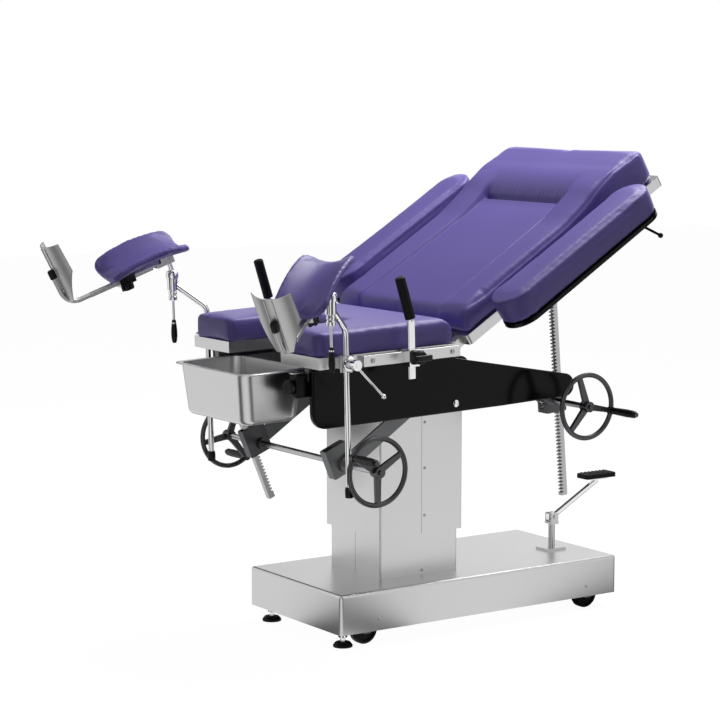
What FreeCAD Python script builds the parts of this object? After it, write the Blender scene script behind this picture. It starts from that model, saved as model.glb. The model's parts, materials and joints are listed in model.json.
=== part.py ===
"""Gynaecological examination table with a hydraulic column, a tilting top and a rack-driven back.

Millimetres. +X points to the head end, +Y is across, +Z is up, and the floor is z = 0.
The origin is under the middle of the whole table. Places below are measured from the middle of
the base, and base_centre_x and base_centre_y move them to the origin when a file is written.
The top is modelled level and leans by rest_lean about its pivot. The back is modelled flat
and is raised by back_angle about its hinge.
"""
import FreeCAD, Part
import math
import os

os.makedirs("parts", exist_ok=True)
V = FreeCAD.Vector

# Place of the middle of the base in the table's own frame
base_centre_x = 195.2
base_centre_y = 78.1

# Resting position of the two tilting sections
rest_lean = 1.5
back_angle = 30.0

# Clearances
running_gap = 0.05
slip_gap = 0.3

# Base
base_length = 900.0
base_width = 434.0
base_bottom = 40.0
base_top = 143.0
base_edge_radius = 8.0
cover_wall = 2.5
frame_bottom = 94.0
frame_wall = 4.0
frame_rail_y = 165.0
frame_rail_width = 60.0
frame_end_gap = 20.0
frame_member_width = 50.0
frame_member_foot = 70.0
frame_member_head = 50.0

# Casters and levelling feet
wheel_diameter = 75.0
wheel_width = 24.0
wheel_axle_diameter = 10.0
fork_wall = 4.0
fork_side_gap = 3.0
caster_foot_from_end = 98.0
caster_head_from_end = 76.0
caster_foot_x = caster_foot_from_end - base_length / 2.0
caster_head_x = base_length / 2.0 - caster_head_from_end
caster_y = 172.0
foot_from_end = 37.0
foot_x = foot_from_end - base_length / 2.0
foot_y = 170.0
foot_pad_diameter = 50.0
foot_pad_height = 14.0
foot_stem_diameter = 12.0

# Column
column_x = -137.0
lower_cover_length = 246.0
lower_cover_width = 230.0
lower_cover_top = 480.0
upper_cover_length = 262.0
upper_cover_width = 252.0
upper_cover_bottom = 253.0
upper_cover_top = 575.0
column_wall = 2.0
seam_width = 1.4
seam_depth = 1.0
head_plate_thickness = 10.0
cylinder_diameter = 90.0
ram_diameter = 60.0
cylinder_top = 470.0
ram_bottom = 250.0
guide_rod_diameter = 30.0
guide_rod_y = 75.0
guide_sleeve_wall = 7.0
guide_sleeve_bottom = 262.0

# Tilt pivot of the top and the shaft that drives it
pivot_x = -113.0
pivot_z = 607.0
pivot_shaft_diameter = 25.0
pivot_cap_diameter = 19.0
lug_y = 105.0
lug_thickness = 20.0
lug_radius = 33.0
tilt_shaft_x = -432.0
tilt_shaft_z = 476.0
tilt_shaft_diameter = 16.0
arm_bar_y = 215.5
arm_bar_thickness = 8.0
arm_bar_radius = 20.0
cross_tube_x = -240.0
cross_tube_z = 602.0
cross_tube_radius = 18.0
tilt_rack_y = 198.5

# Racks, pinions and gearboxes
tooth_module = 3.0
tilt_pinion_teeth = 12
back_pinion_teeth = 18
tilt_tooth_clearance = 0.8
back_tooth_clearance = 0.6
rack_width = 16.0
rack_body = 11.0
tilt_rack_up = 170.0
tilt_rack_down = 152.0
rack_eye_radius = 12.0
rack_pin_diameter = 12.0
gearbox_wall = 4.0
gearbox_up = 54.0
gearbox_down = 24.0
gearbox_back = 25.0
rack_run_out = 6.0
rack_side_gap = 0.5

# Handwheels and crank grips
wheel_rim_diameter = 178.0
wheel_rim_section = 13.0
hub_diameter = 28.0
hub_length = 28.0
tilt_wheel_y = 352.0
grip_pin_diameter = 8.0
crank_grip_length = 92.0
crank_grip_diameter = 21.0

# Side panels and beam
panel_inner_y = 225.0
panel_thickness = 15.0
panel_edge_radius = 5.0
beam_plate_thickness = 4.0
panel_gap = 0.3
beam_top = 735.0
beam_bottom = 584.0

# Seat
seat_front_x = -563.0
seat_rear_x = -150.0
seat_half_width = 300.0
seat_frame_bottom = 742.0
seat_frame_top = 771.0
seat_member = 40.0
sheet_wall = 3.0
seat_pad_top = 833.0
cut_half_width = 125.0
cut_depth = 180.0
pad_overhang = 5.0
pad_corner_radius = 30.0
pad_edge_radius = 14.0
pad_rear_radius = 40.0

# Side rails on the seat
rail_front_x = -445.0
rail_rear_x = -153.0
rail_bottom = 740.0
rail_height = 28.0
rail_thickness = 8.0
rail_standoff = 10.0

# Back section, in its flat position from the hinge
hinge_x = -130.0
hinge_z = 758.0
hinge_pin_diameter = 14.0
hinge_radius = 13.0
hinge_y = 250.0
hinge_leaf = 23.0
hinge_ear = 12.0
back_length = 776.0
back_half_width = 288.0
back_frame_start = 30.0
back_frame_low = -15.0
back_frame_high = 12.0
back_member = 34.0
back_pad_top = 72.0
back_pad_start = 34.0
back_pad_end_radius = 38.0
back_pad_overhang = 8.0
pillow_crest_from_head = 94.0
pillow_ramp = 210.0
pillow_ramp_first = 85.0
pillow_ramp_second = 150.0
pillow_rise = 26.0
pillow_crest = back_length + back_pad_overhang - pillow_crest_from_head
pillow_start = pillow_crest - pillow_ramp

# Back rack and its gearbox
back_shaft_x = 229.0
back_shaft_z = 575.0
back_rack_y = -190.0
rack_top_u = 408.0
rack_top_v = -45.0
back_rack_length = 612.0
back_wheel_y = -350.0
cheek_thickness = 6.0

# Arm boards, in the flat back frame
arm_start = 92.0
arm_end = 645.0
arm_y = 383.0
arm_half_width = 64.0
arm_board_thickness = 10.0
arm_pad_top = 84.0
arm_pad_bottom = 10.4
arm_pivot_u = 600.0
arm_pivot_y = 355.0
arm_pin_diameter = 16.0

# Leg holders
rod_diameter = 15.0
rod_x = -505.0
rod_from_seat = 30.0
rod_y = seat_half_width + rod_from_seat
rod_bottom = 440.0
rod_bend_z = 838.0
rod_bend_radius = 30.0
knuckle_x = -579.0
knuckle_from_rod = 49.0
knuckle_y = rod_y + knuckle_from_rod
knuckle_z = 905.0
knuckle_diameter = 28.0
holder_yaw_near = 34.4
holder_yaw_far = 3.5
holder_slope_near = 28.0
holder_slope_far = 18.4
holder_roll_near = 0.0
holder_roll_far = 15.0
knee_pivot_x = -10.0
knee_pivot_rise = 66.0
boot_bar_length = 310.0
boot_rod_diameter = 13.0
boot_lean = 7.0
boot_bend_radius = 44.0
boot_plate_height = 165.0
boot_plate_top = 100.0
boot_plate_bottom = 42.0
boot_plate_radius = 62.0
boot_plate_wall = 2.5
holder_bar_diameter = 16.0
knee_pad_length = 228.0
knee_pad_radius = 80.0
knee_pad_thickness = 18.0
knee_pad_half_angle = 48.0
knee_pad_middle = -84.0
knee_pad_sag_radius = 480.0

# Hand grips
grip_x = -312.0
grip_from_seat = 30.0
grip_post_y = seat_half_width + grip_from_seat
grip_rubber_diameter = 26.0
grip_rubber_length = 108.0
grip_lean = 16.0
grip_bend_z = 846.0

# Basin
basin_front_x = -705.0
basin_rear_x = -505.0
basin_half_width = 167.0
basin_rim_z = 729.0
basin_depth = 132.0
basin_wall = 1.6

# Foot pedal
pedal_from_end = 95.0
pedal_x = base_length / 2.0 - pedal_from_end
pedal_y = -56.0
pedal_pivot_z = 234.0
pedal_reach = 165.0
pedal_rise = 92.0


# Shape helpers

def box(x0, x1, y0, y1, z0, z1):
    """A block between two corners, given in any order."""
    return Part.makeBox(abs(x1 - x0), abs(y1 - y0), abs(z1 - z0), V(min(x0, x1), min(y0, y1), min(z0, z1)))


def rod(start, end, diameter):
    """A round bar between two points."""
    return Part.makeCylinder(diameter / 2.0, (end - start).Length, start, end - start)


def disc_y(x, z, diameter, y0, y1):
    """A round bar across the table."""
    return rod(V(x, min(y0, y1), z), V(x, max(y0, y1), z), diameter)


def disc_z(x, y, diameter, z0, z1):
    """An upright round bar."""
    return rod(V(x, y, z0), V(x, y, z1), diameter)


def side_plate(edges, y0, y1):
    """A plate from an outline in the XZ plane, between two distances across."""
    face = Part.Face(Part.Wire(edges))
    face.translate(V(0, min(y0, y1), 0))
    return face.extrude(V(0, abs(y1 - y0), 0))


def polygon(points):
    """Closed edges through points."""
    ring = points + points[:1]
    return Part.makePolygon(ring).Edges


def flat_plate(points, z0, z1):
    """A plate from an outline in the XY plane."""
    face = Part.Face(Part.makePolygon([V(x, y, z0) for x, y in points + points[:1]]))
    return face.extrude(V(0, 0, z1 - z0))


def upright_edges(shape):
    """Edges that run along Z."""
    found = []
    for edge in shape.Edges:
        if abs(edge.BoundBox.ZLength - edge.Length) < 0.001:
            found.append(edge)
    return found


def edges_at_height(shape, z):
    """Edges that lie wholly at one height."""
    found = []
    for edge in shape.Edges:
        bounds = edge.BoundBox
        if abs(bounds.ZMin - z) < 0.01 and abs(bounds.ZMax - z) < 0.01:
            found.append(edge)
    return found


def edges_across(shape, y):
    """Edges that lie wholly at one distance across."""
    found = []
    for edge in shape.Edges:
        bounds = edge.BoundBox
        if abs(bounds.YMin - y) < 0.01 and abs(bounds.YMax - y) < 0.01:
            found.append(edge)
    return found


def fused(*shapes):
    """One solid from shapes that touch, with its flush faces joined."""
    whole = shapes[0]
    if len(shapes) > 1:
        whole = shapes[0].multiFuse(list(shapes[1:]))
    return whole.removeSplitter()


def cut(shape, *tools):
    """A shape with other shapes taken out of it."""
    return shape.cut(list(tools)).removeSplitter()


def turned(shape, x, z, degrees):
    """A copy turned about an axis along +Y through x and z."""
    copy = shape.copy()
    copy.rotate(V(x, 0, z), V(0, 1, 0), degrees)
    return copy


def lean(shape):
    """Takes a shape from the level top to the resting tilt."""
    return turned(shape, pivot_x, pivot_z, -rest_lean)


def raised(shape):
    """Takes a shape from the flat back to the resting back on the leaning top."""
    return lean(turned(shape, hinge_x, hinge_z, -back_angle))


def mirrored(shape):
    """The same shape on the other side of the table."""
    return shape.mirror(V(0, 0, 0), V(0, 1, 0))


def unleaned(point):
    """Where a point of the resting table lies in the level frame of the top."""
    turn = math.radians(-rest_lean)
    dx = point.x - pivot_x
    dz = point.z - pivot_z
    return V(pivot_x + dx * math.cos(turn) - dz * math.sin(turn), point.y,
             pivot_z + dx * math.sin(turn) + dz * math.cos(turn))


def save(node, *shapes):
    """Writes the solids of one node, moved to the table's own origin."""
    solids = []
    for shape in shapes:
        solids += shape.Solids
    group = Part.makeCompound(solids) if len(solids) > 1 else solids[0].copy()
    group.translate(V(base_centre_x, base_centre_y, 0))
    group.exportStep("parts/%s.step" % node)


def save_pair(name, shape, place=None):
    """Writes a near piece and its mirror image as two nodes."""
    for side in ("near", "far"):
        piece = shape if side == "near" else mirrored(shape)
        save("%s_%s" % (name, side), place(piece) if place else piece)


# Base

def base_cover():
    half_length = base_length / 2.0
    half_width = base_width / 2.0
    shell = box(-half_length, half_length, -half_width, half_width, base_bottom, base_top)
    shell = shell.makeFillet(base_edge_radius, upright_edges(shell) + edges_at_height(shell, base_top))
    room_length = half_length - cover_wall
    room_width = half_width - cover_wall
    room_top = base_top - cover_wall
    room = box(-room_length, room_length, -room_width, room_width, 0, room_top)
    room = room.makeFillet(base_edge_radius - cover_wall, upright_edges(room) + edges_at_height(room, room_top))
    column_hole = box(column_x - 90, column_x + 90, -95, 95, room_top - 5, base_top + 5)
    return cut(shell, room, column_hole)


def base_frame():
    top = base_top - cover_wall
    half_length = base_length / 2.0 - frame_end_gap
    bars = []
    hollows = []
    for side in (-1, 1):
        middle = side * frame_rail_y
        half = frame_rail_width / 2.0
        bars.append(box(-half_length, half_length, middle - half, middle + half, frame_bottom, top))
        hollows.append(box(-half_length - 1, half_length + 1, middle - half + frame_wall,
                           middle + half - frame_wall, frame_bottom + frame_wall, top - frame_wall))
        bars.append(disc_z(foot_x, side * foot_y, 30, frame_bottom, top))
        hollows.append(disc_z(foot_x, side * foot_y, foot_stem_diameter + 2 * running_gap, 0, top - 10))
    inner = frame_rail_y - frame_rail_width / 2.0
    members = []
    half = frame_member_width / 2.0
    for x in (frame_member_foot - base_length / 2.0, base_length / 2.0 - frame_member_head):
        members.append(box(x - half, x + half, -inner, inner, frame_bottom, top))
    members.append(box(column_x - 120, column_x + 120, -inner, inner, top - 12, top))
    rails = fused(*bars).cut(hollows)
    guides = [disc_z(column_x, side * guide_rod_y, guide_rod_diameter, top - 6, cylinder_top) for side in (-1, 1)]
    return fused(rails, *(members + guides))


def column_cover(length, width, bottom, top, seam_across):
    """An open-ended sheet cover with small corner radii and a seam down two of its faces."""
    outer = box(column_x - length / 2.0, column_x + length / 2.0, -width / 2.0, width / 2.0, bottom, top)
    outer = outer.makeFillet(4.0, upright_edges(outer))
    inner = box(column_x - length / 2.0 + column_wall, column_x + length / 2.0 - column_wall,
                -width / 2.0 + column_wall, width / 2.0 - column_wall, bottom - 1, top + 1)
    inner = inner.makeFillet(4.0 - column_wall, upright_edges(inner))
    half_seam = seam_width / 2.0
    seams = []
    for side in (-1, 1):
        if seam_across:
            face = column_x + side * length / 2.0
            seams.append(box(face, face - side * seam_depth, -half_seam, half_seam, bottom - 1, top + 1))
        else:
            face = side * width / 2.0
            seams.append(box(column_x - half_seam, column_x + half_seam, face, face - side * seam_depth,
                             bottom - 1, top + 1))
    return outer.cut([inner] + seams)


def hydraulic_cylinder():
    foot_z = base_top - cover_wall
    flange = box(column_x - 70, column_x + 70, -50, 50, foot_z, foot_z + 10)
    barrel = disc_z(column_x, 0, cylinder_diameter, foot_z, cylinder_top)
    gland = disc_z(column_x, 0, cylinder_diameter + 8, cylinder_top - 16, cylinder_top)
    bore = disc_z(column_x, 0, ram_diameter + 2 * running_gap, foot_z + 22, cylinder_top + 1)
    return cut(fused(flange, barrel, gland), bore)


def hydraulic_pump():
    top = base_top - cover_wall
    return box(pedal_x - 75, pedal_x - 5, pedal_y - 30, pedal_y + 30, frame_bottom + 4, top)


def caster_fork(x, y):
    """A plate with two cheeks and the axle between them."""
    half = wheel_width / 2.0 + fork_side_gap
    centre = wheel_diameter / 2.0
    plate = box(x - 34, x + 34, y - 23, y + 23, frame_bottom - 5, frame_bottom)
    parts = [plate]
    for side in (-1, 1):
        y0 = y + side * half
        cheek = side_plate(polygon([V(x - 24, 0, frame_bottom - 5), V(x + 24, 0, frame_bottom - 5),
                                    V(x + 11, 0, centre - 9), V(x - 11, 0, centre - 9)]),
                           y0, y0 + side * fork_wall)
        parts.append(cheek)
    parts.append(disc_y(x, centre, wheel_axle_diameter, y - half - fork_wall - 3, y + half + fork_wall + 3))
    return fused(*parts)


def caster_wheel(x, y):
    radius = wheel_diameter / 2.0
    half = wheel_width / 2.0
    bore = wheel_axle_diameter / 2.0 + running_gap
    profile = [V(bore, -half - 2, 0), V(13, -half - 2, 0), V(15, -half + 4, 0), V(27, -half + 4, 0),
               V(29, -half, 0), V(radius - 3, -half, 0), V(radius, -half + 4, 0), V(radius, half - 4, 0),
               V(radius - 3, half, 0), V(29, half, 0), V(27, half - 4, 0), V(15, half - 4, 0),
               V(13, half + 2, 0), V(bore, half + 2, 0)]
    face = Part.Face(Part.makePolygon(profile + profile[:1]))
    wheel = face.revolve(V(0, 0, 0), V(0, 1, 0), 360)
    wheel.translate(V(x, y, radius))
    return wheel


def levelling_foot(y):
    """A rubber pad on a threaded stem with a lock nut under the frame."""
    radius = foot_pad_diameter / 2.0
    profile = [V(0, 0, 0), V(radius, 0, 0), V(radius, 0, 5), V(radius - 6, 0, foot_pad_height - 2),
               V(10, 0, foot_pad_height), V(0, 0, foot_pad_height)]
    pad = Part.Face(Part.makePolygon(profile + profile[:1])).revolve(V(0, 0, 0), V(0, 0, 1), 360)
    stem = disc_z(0, 0, foot_stem_diameter, foot_pad_height - 1, base_top - cover_wall - 15)
    nut = flat_plate([(11 * math.cos(math.radians(60 * i)), 11 * math.sin(math.radians(60 * i)))
                      for i in range(6)], 24, 34)
    foot = fused(pad, stem, nut)
    foot.translate(V(foot_x, y, 0))
    return foot


def pedal_post():
    """A foot plate, an upright and a fork for the pedal lever."""
    plate = box(pedal_x - 34, pedal_x + 30, pedal_y - 26, pedal_y + 26, base_top, base_top + 6)
    upright = disc_z(pedal_x, pedal_y, 18, base_top + 5, pedal_pivot_z - 16)
    parts = [plate, upright, box(pedal_x - 12, pedal_x + 12, pedal_y - 16, pedal_y + 16,
                                 pedal_pivot_z - 20, pedal_pivot_z - 14)]
    for side in (-1, 1):
        y0 = pedal_y + side * 9.3
        parts.append(box(pedal_x - 12, pedal_x + 12, y0, y0 + side * 5, pedal_pivot_z - 16, pedal_pivot_z + 11))
    parts.append(disc_y(pedal_x, pedal_pivot_z, 10, pedal_y - 18, pedal_y + 18))
    return fused(*parts)


def pedal_lever():
    """A flat bar from the pivot up to the pedal pad."""
    boss = disc_y(pedal_x, pedal_pivot_z, 22, pedal_y - 9, pedal_y + 9)
    length = math.hypot(pedal_reach, pedal_rise)
    bar = box(0, length - 8, -6, 6, -8, 4)
    bar = bar.makeFillet(3.0, [edge for edge in bar.Edges if edge.BoundBox.XLength > 20])
    bar.rotate(V(0, 0, 0), V(0, 1, 0), -math.degrees(math.atan2(pedal_rise, pedal_reach)))
    bar.translate(V(pedal_x, pedal_y, pedal_pivot_z))
    bracket = box(pedal_x + pedal_reach - 34, pedal_x + pedal_reach + 22, pedal_y - 12, pedal_y + 12,
                  pedal_pivot_z + pedal_rise - 4, pedal_pivot_z + pedal_rise + 2)
    tail = box(pedal_x - 15, pedal_x, pedal_y - 7, pedal_y + 7, pedal_pivot_z - 8, pedal_pivot_z + 8)
    whole = fused(boss, bar, bracket, tail)
    return cut(whole, disc_y(pedal_x, pedal_pivot_z, 10 + 2 * running_gap, pedal_y - 30, pedal_y + 30))


def pedal_pad():
    z = pedal_pivot_z + pedal_rise + 2
    x = pedal_x + pedal_reach
    pad = box(x - 60, x + 45, pedal_y - 24, pedal_y + 24, z, z + 13)
    pad = pad.makeFillet(6.0, upright_edges(pad))
    return pad.makeFillet(3.0, edges_at_height(pad, z + 13))


# Column that rises

def column_head():
    """The lid of the rising column with its ram, guide sleeves, pivot lugs and cross tube."""
    half_length = upper_cover_length / 2.0
    half_width = upper_cover_width / 2.0
    top = upper_cover_top + head_plate_thickness
    parts = [box(column_x - half_length, column_x + half_length, -half_width, half_width, upper_cover_top, top)]
    for side in (-1, 1):
        y0 = side * (lug_y - lug_thickness / 2.0)
        y1 = side * (lug_y + lug_thickness / 2.0)
        parts.append(box(pivot_x - lug_radius - 8, pivot_x + lug_radius + 8, y0, y1, top - 1, pivot_z))
        parts.append(disc_y(pivot_x, pivot_z, 2 * lug_radius, y0, y1))
        parts.append(disc_z(column_x, side * guide_rod_y, guide_rod_diameter + 2 * guide_sleeve_wall,
                            guide_sleeve_bottom, upper_cover_top + 1))
    parts.append(disc_z(column_x, 0, ram_diameter, ram_bottom, upper_cover_top + 1))
    parts.append(disc_y(cross_tube_x, cross_tube_z, 2 * cross_tube_radius,
                        -arm_bar_y + arm_bar_thickness / 2.0, arm_bar_y - arm_bar_thickness / 2.0))
    bores = [disc_y(pivot_x, pivot_z, pivot_shaft_diameter + 2 * running_gap, -150, 150)]
    for side in (-1, 1):
        bores.append(disc_z(column_x, side * guide_rod_y, guide_rod_diameter + 2 * running_gap,
                            guide_sleeve_bottom - 1, upper_cover_top - 12))
    return cut(fused(*parts), *bores)


def arm_bar(side):
    """A flat bar from the cross tube down to the bearing of the tilt shaft."""
    y0 = side * (arm_bar_y - arm_bar_thickness / 2.0)
    y1 = side * (arm_bar_y + arm_bar_thickness / 2.0)
    angle = math.atan2(cross_tube_z - tilt_shaft_z, cross_tube_x - tilt_shaft_x)
    across = V(-math.sin(angle), 0, math.cos(angle)) * arm_bar_radius
    low = V(tilt_shaft_x, 0, tilt_shaft_z)
    high = V(cross_tube_x, 0, cross_tube_z)
    web = side_plate(polygon([low + across, high + across, high - across, low - across]), y0, y1)
    return fused(web, disc_y(tilt_shaft_x, tilt_shaft_z, 2 * arm_bar_radius, y0, y1),
                 disc_y(cross_tube_x, cross_tube_z, 2 * arm_bar_radius, y0, y1))


# The tilt drive has its own directions: along the rack, and away from the top's pivot

shaft_arm = V(tilt_shaft_x - pivot_x, 0, tilt_shaft_z - pivot_z)
shaft_arm_length = shaft_arm.Length
outward = shaft_arm * (1.0 / shaft_arm_length)
down_rack = V(-outward.z, 0, outward.x)
tilt_shaft_point = V(tilt_shaft_x, 0, tilt_shaft_z)
tilt_pitch_radius = tooth_module * tilt_pinion_teeth / 2.0
back_pitch_radius = tooth_module * back_pinion_teeth / 2.0


def in_drive(along, away):
    """A point of the tilt drive, along the rack and away from the pivot."""
    return tilt_shaft_point + down_rack * along + outward * away


def drive_block(along0, along1, away0, away1, y0, y1):
    """A block in the directions of the tilt drive."""
    points = [in_drive(along0, away0), in_drive(along1, away0), in_drive(along1, away1), in_drive(along0, away1)]
    return side_plate(polygon(points), y0, y1)


def tilt_housing(side, open_top):
    """The inclined housing on the tilt shaft, at one side of the table."""
    inner = tilt_rack_y - rack_width / 2.0 - rack_side_gap
    outer = tilt_rack_y + rack_width / 2.0 + rack_side_gap
    rack_back = tilt_pitch_radius + 1.25 * tooth_module + rack_body
    front = rack_back + rack_run_out
    block = drive_block(-gearbox_up, gearbox_down, -gearbox_back, front + gearbox_wall,
                        side * (inner - gearbox_wall - 1.5), side * (outer + gearbox_wall - 0.5))
    block = block.makeFillet(4.0, [edge for edge in block.Edges if edge.BoundBox.YLength > 20])
    mouth = tilt_pitch_radius - tooth_module - 1.0
    channel_top = -gearbox_up - 10
    channel_end = gearbox_down + 10 if not open_top else gearbox_down - gearbox_wall
    channel = drive_block(channel_top, channel_end, mouth, front, side * inner, side * outer)
    pocket = disc_y(tilt_shaft_x, tilt_shaft_z, 2 * (tilt_pitch_radius + tooth_module + 1.5),
                    side * inner, side * outer)
    bore = disc_y(tilt_shaft_x, tilt_shaft_z, tilt_shaft_diameter + 2 * running_gap, side * 150, side * 230)
    boss = disc_y(tilt_shaft_x, tilt_shaft_z, 30, side * (inner - 14), side * (inner - 2))
    return cut(fused(block, boss), channel, pocket, bore)


def tilt_arms():
    """Both flat arms, with the near housing that only carries the shaft."""
    bore = disc_y(tilt_shaft_x, tilt_shaft_z, tilt_shaft_diameter + 2 * running_gap, -260, 260)
    near_housing = tilt_housing(-1, True)
    link = drive_block(-20, 16, -16, 16, -(tilt_rack_y + rack_width / 2.0 + 3.5), -(arm_bar_y - 3))
    near = cut(fused(arm_bar(-1), near_housing, link), bore)
    far = cut(arm_bar(1), bore)
    bolts = [rod(V(-411, -arm_bar_y - 4, 505), V(-411, -arm_bar_y - 4.6, 505), 19)]
    return [fused(near, *bolts), far]


def gear_outline(teeth, clearance):
    """Corners of a gear's teeth about the origin, in the XZ plane."""
    pitch = tooth_module * teeth / 2.0
    tip = pitch + tooth_module
    root = pitch - 1.25 * tooth_module
    points = []
    for i in range(teeth):
        middle = 2 * math.pi * i / teeth
        half_pitch = (math.pi / 2.0 * tooth_module / 2.0 - clearance) / pitch
        half_tip = (math.pi / 2.0 * tooth_module / 2.0 - clearance - tooth_module * math.tan(math.radians(24))) / tip
        half_root = (math.pi / 2.0 * tooth_module / 2.0 + 0.8 - clearance) / root
        for radius, turn in ((root, -half_root), (pitch, -half_pitch), (tip, -half_tip),
                             (tip, half_tip), (pitch, half_pitch), (root, half_root)):
            points.append((radius * math.cos(middle + turn), radius * math.sin(middle + turn)))
    return points


def pinion(teeth, x, z, first, y0, y1, clearance):
    """A spur gear on an axis along Y. A tooth points along the direction first."""
    start = math.atan2(first.z, first.x)
    points = []
    for px, pz in gear_outline(teeth, clearance):
        points.append(V(x + px * math.cos(start) - pz * math.sin(start), 0,
                        z + px * math.sin(start) + pz * math.cos(start)))
    return side_plate(polygon(points), y0, y1)


def rack_bar(origin, along, toward_gear, up, down, y0, y1, teeth_up, teeth_down):
    """A toothed bar. The pitch line passes through origin, where a gap faces the gear."""
    pitch = math.pi * tooth_module
    addendum = tooth_module
    dedendum = 1.25 * tooth_module
    slope = math.tan(math.radians(20))
    gap_half_root = pitch / 4.0 - dedendum * slope
    gap_half_tip = pitch / 4.0 + addendum * slope
    points = [origin - along * up - toward_gear * (dedendum + rack_body),
              origin - along * up + toward_gear * addendum]
    first = -int(teeth_up / pitch)
    last = int(teeth_down / pitch)
    for i in range(first, last + 1):
        middle = origin + along * (i * pitch)
        points.append(middle - along * gap_half_tip + toward_gear * addendum)
        points.append(middle - along * gap_half_root - toward_gear * dedendum)
        points.append(middle + along * gap_half_root - toward_gear * dedendum)
        points.append(middle + along * gap_half_tip + toward_gear * addendum)
    points.append(origin + along * down + toward_gear * addendum)
    points.append(origin + along * down - toward_gear * (dedendum + rack_body))
    return side_plate(polygon(points), y0, y1)


def tilt_rack():
    y0 = tilt_rack_y - rack_width / 2.0
    y1 = tilt_rack_y + rack_width / 2.0
    origin = in_drive(0, tilt_pitch_radius)
    bar = rack_bar(origin, down_rack, outward * -1, tilt_rack_up, tilt_rack_down, y0, y1, 105, tilt_rack_down - 12)
    middle = origin - down_rack * tilt_rack_up + outward * 4
    eye = disc_y(middle.x, middle.z, 2 * rack_eye_radius, y0, y1)
    hole = disc_y(middle.x, middle.z, rack_pin_diameter + 2 * running_gap, y0 - 5, y1 + 5)
    return cut(fused(bar, eye), hole)


def tilt_pin_point():
    return in_drive(0, tilt_pitch_radius) - down_rack * tilt_rack_up + outward * 4


# Handwheels and their crank grips

def handwheel(x, z, y_middle, side, spoke_angles, crank_angle):
    """A cast wheel with a round rim, three tapered spokes, a hub and a pin for the grip."""
    radius = (wheel_rim_diameter - wheel_rim_section) / 2.0
    rim = Part.makeTorus(radius, wheel_rim_section / 2.0, V(0, 0, 0), V(0, 1, 0))
    hub = rod(V(0, -side * hub_length / 2.0, 0), V(0, side * hub_length / 2.0, 0), hub_diameter)
    nut = rod(V(0, side * hub_length / 2.0, 0), V(0, side * (hub_length / 2.0 + 5), 0), 12)
    parts = [rim, hub, nut]
    for angle in spoke_angles:
        spoke = side_plate(polygon([V(8, 0, -9), V(radius, 0, -6), V(radius, 0, 6), V(8, 0, 9)]), -4.5, 4.5)
        spoke.rotate(V(0, 0, 0), V(0, 1, 0), -angle)
        parts.append(spoke)
    turn = math.radians(crank_angle)
    foot = V(radius * math.cos(turn), 0, radius * math.sin(turn))
    step = V(0, side, 0)
    parts.append(rod(foot - step * 6, foot + step * 9, 20))
    parts.append(rod(foot + step * 8, foot + step * (10 + crank_grip_length), grip_pin_diameter))
    parts.append(rod(foot + step * (9.3 + crank_grip_length), foot + step * (12 + crank_grip_length), 12))
    wheel = fused(*parts)
    wheel.translate(V(x, y_middle, z))
    return wheel


def crank_grip(x, z, y_middle, side, crank_angle):
    """A waisted grip that turns on the pin of a handwheel."""
    radius = (wheel_rim_diameter - wheel_rim_section) / 2.0
    bore = grip_pin_diameter / 2.0 + running_gap
    thick = crank_grip_diameter / 2.0
    profile = [V(bore, 0, 0), V(thick - 2, 0, 0), V(thick - 1, 0, 14), V(thick, 0, crank_grip_length * 0.62),
               V(thick - 1, 0, crank_grip_length - 7), V(thick - 4, 0, crank_grip_length - 1),
               V(bore, 0, crank_grip_length - 1)]
    grip = Part.Face(Part.makePolygon(profile + profile[:1])).revolve(V(0, 0, 0), V(0, 0, 1), 360)
    grip.rotate(V(0, 0, 0), V(1, 0, 0), -90 * side)
    turn = math.radians(crank_angle)
    grip.translate(V(x + radius * math.cos(turn), y_middle + side * 9.6, z + radius * math.sin(turn)))
    return grip


# Beam, panels and seat, built level

def panel_outline(inset):
    """The side view of the beam: a square front with a round lower corner and a tapering tail."""
    front = -546.0 + inset
    bottom = beam_bottom + inset
    corner = 40.0
    top = beam_top - (inset if inset else 0)
    start = V(front, 0, top)
    arc_a = V(front, 0, bottom + corner)
    arc_m = V(front + corner * (1 - math.sqrt(0.5)), 0, bottom + corner * (1 - math.sqrt(0.5)))
    arc_b = V(front + corner, 0, bottom)
    tail_low = V(238, 0, bottom + 3)
    tip = V(279 - inset, 0, 620)
    tail_high = V(252, 0, 648 - inset)
    shoulder = V(-106, 0, 722 - inset)
    rear_top = V(-124, 0, top)
    return [Part.makeLine(start, arc_a), Part.Arc(arc_a, arc_m, arc_b).toShape(), Part.makeLine(arc_b, V(40, 0, bottom)),
            Part.makeLine(V(40, 0, bottom), tail_low), Part.Arc(tail_low, tip, tail_high).toShape(),
            Part.makeLine(tail_high, shoulder), Part.makeLine(shoulder, rear_top), Part.makeLine(rear_top, start)]


def side_panel(side):
    """A moulded panel with rounded outer edges and a hole for the pivot's cap."""
    y0 = side * panel_inner_y
    y1 = side * (panel_inner_y + panel_thickness)
    panel = side_plate(panel_outline(0), y0, y1)
    panel = panel.makeFillet(panel_edge_radius, edges_across(panel, y1))
    return cut(panel, disc_y(pivot_x, pivot_z, pivot_cap_diameter + 0.4, side * 200, side * 260))


def open_channel(x0, x1, y0, y1, z0, z1):
    """A folded bar, open underneath."""
    wall = sheet_wall
    return box(x0, x1, y0, y1, z0, z1).cut(box(x0 + wall, x1 - wall, y0 + wall, y1 - wall, z0 - 1, z1 - wall))


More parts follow.
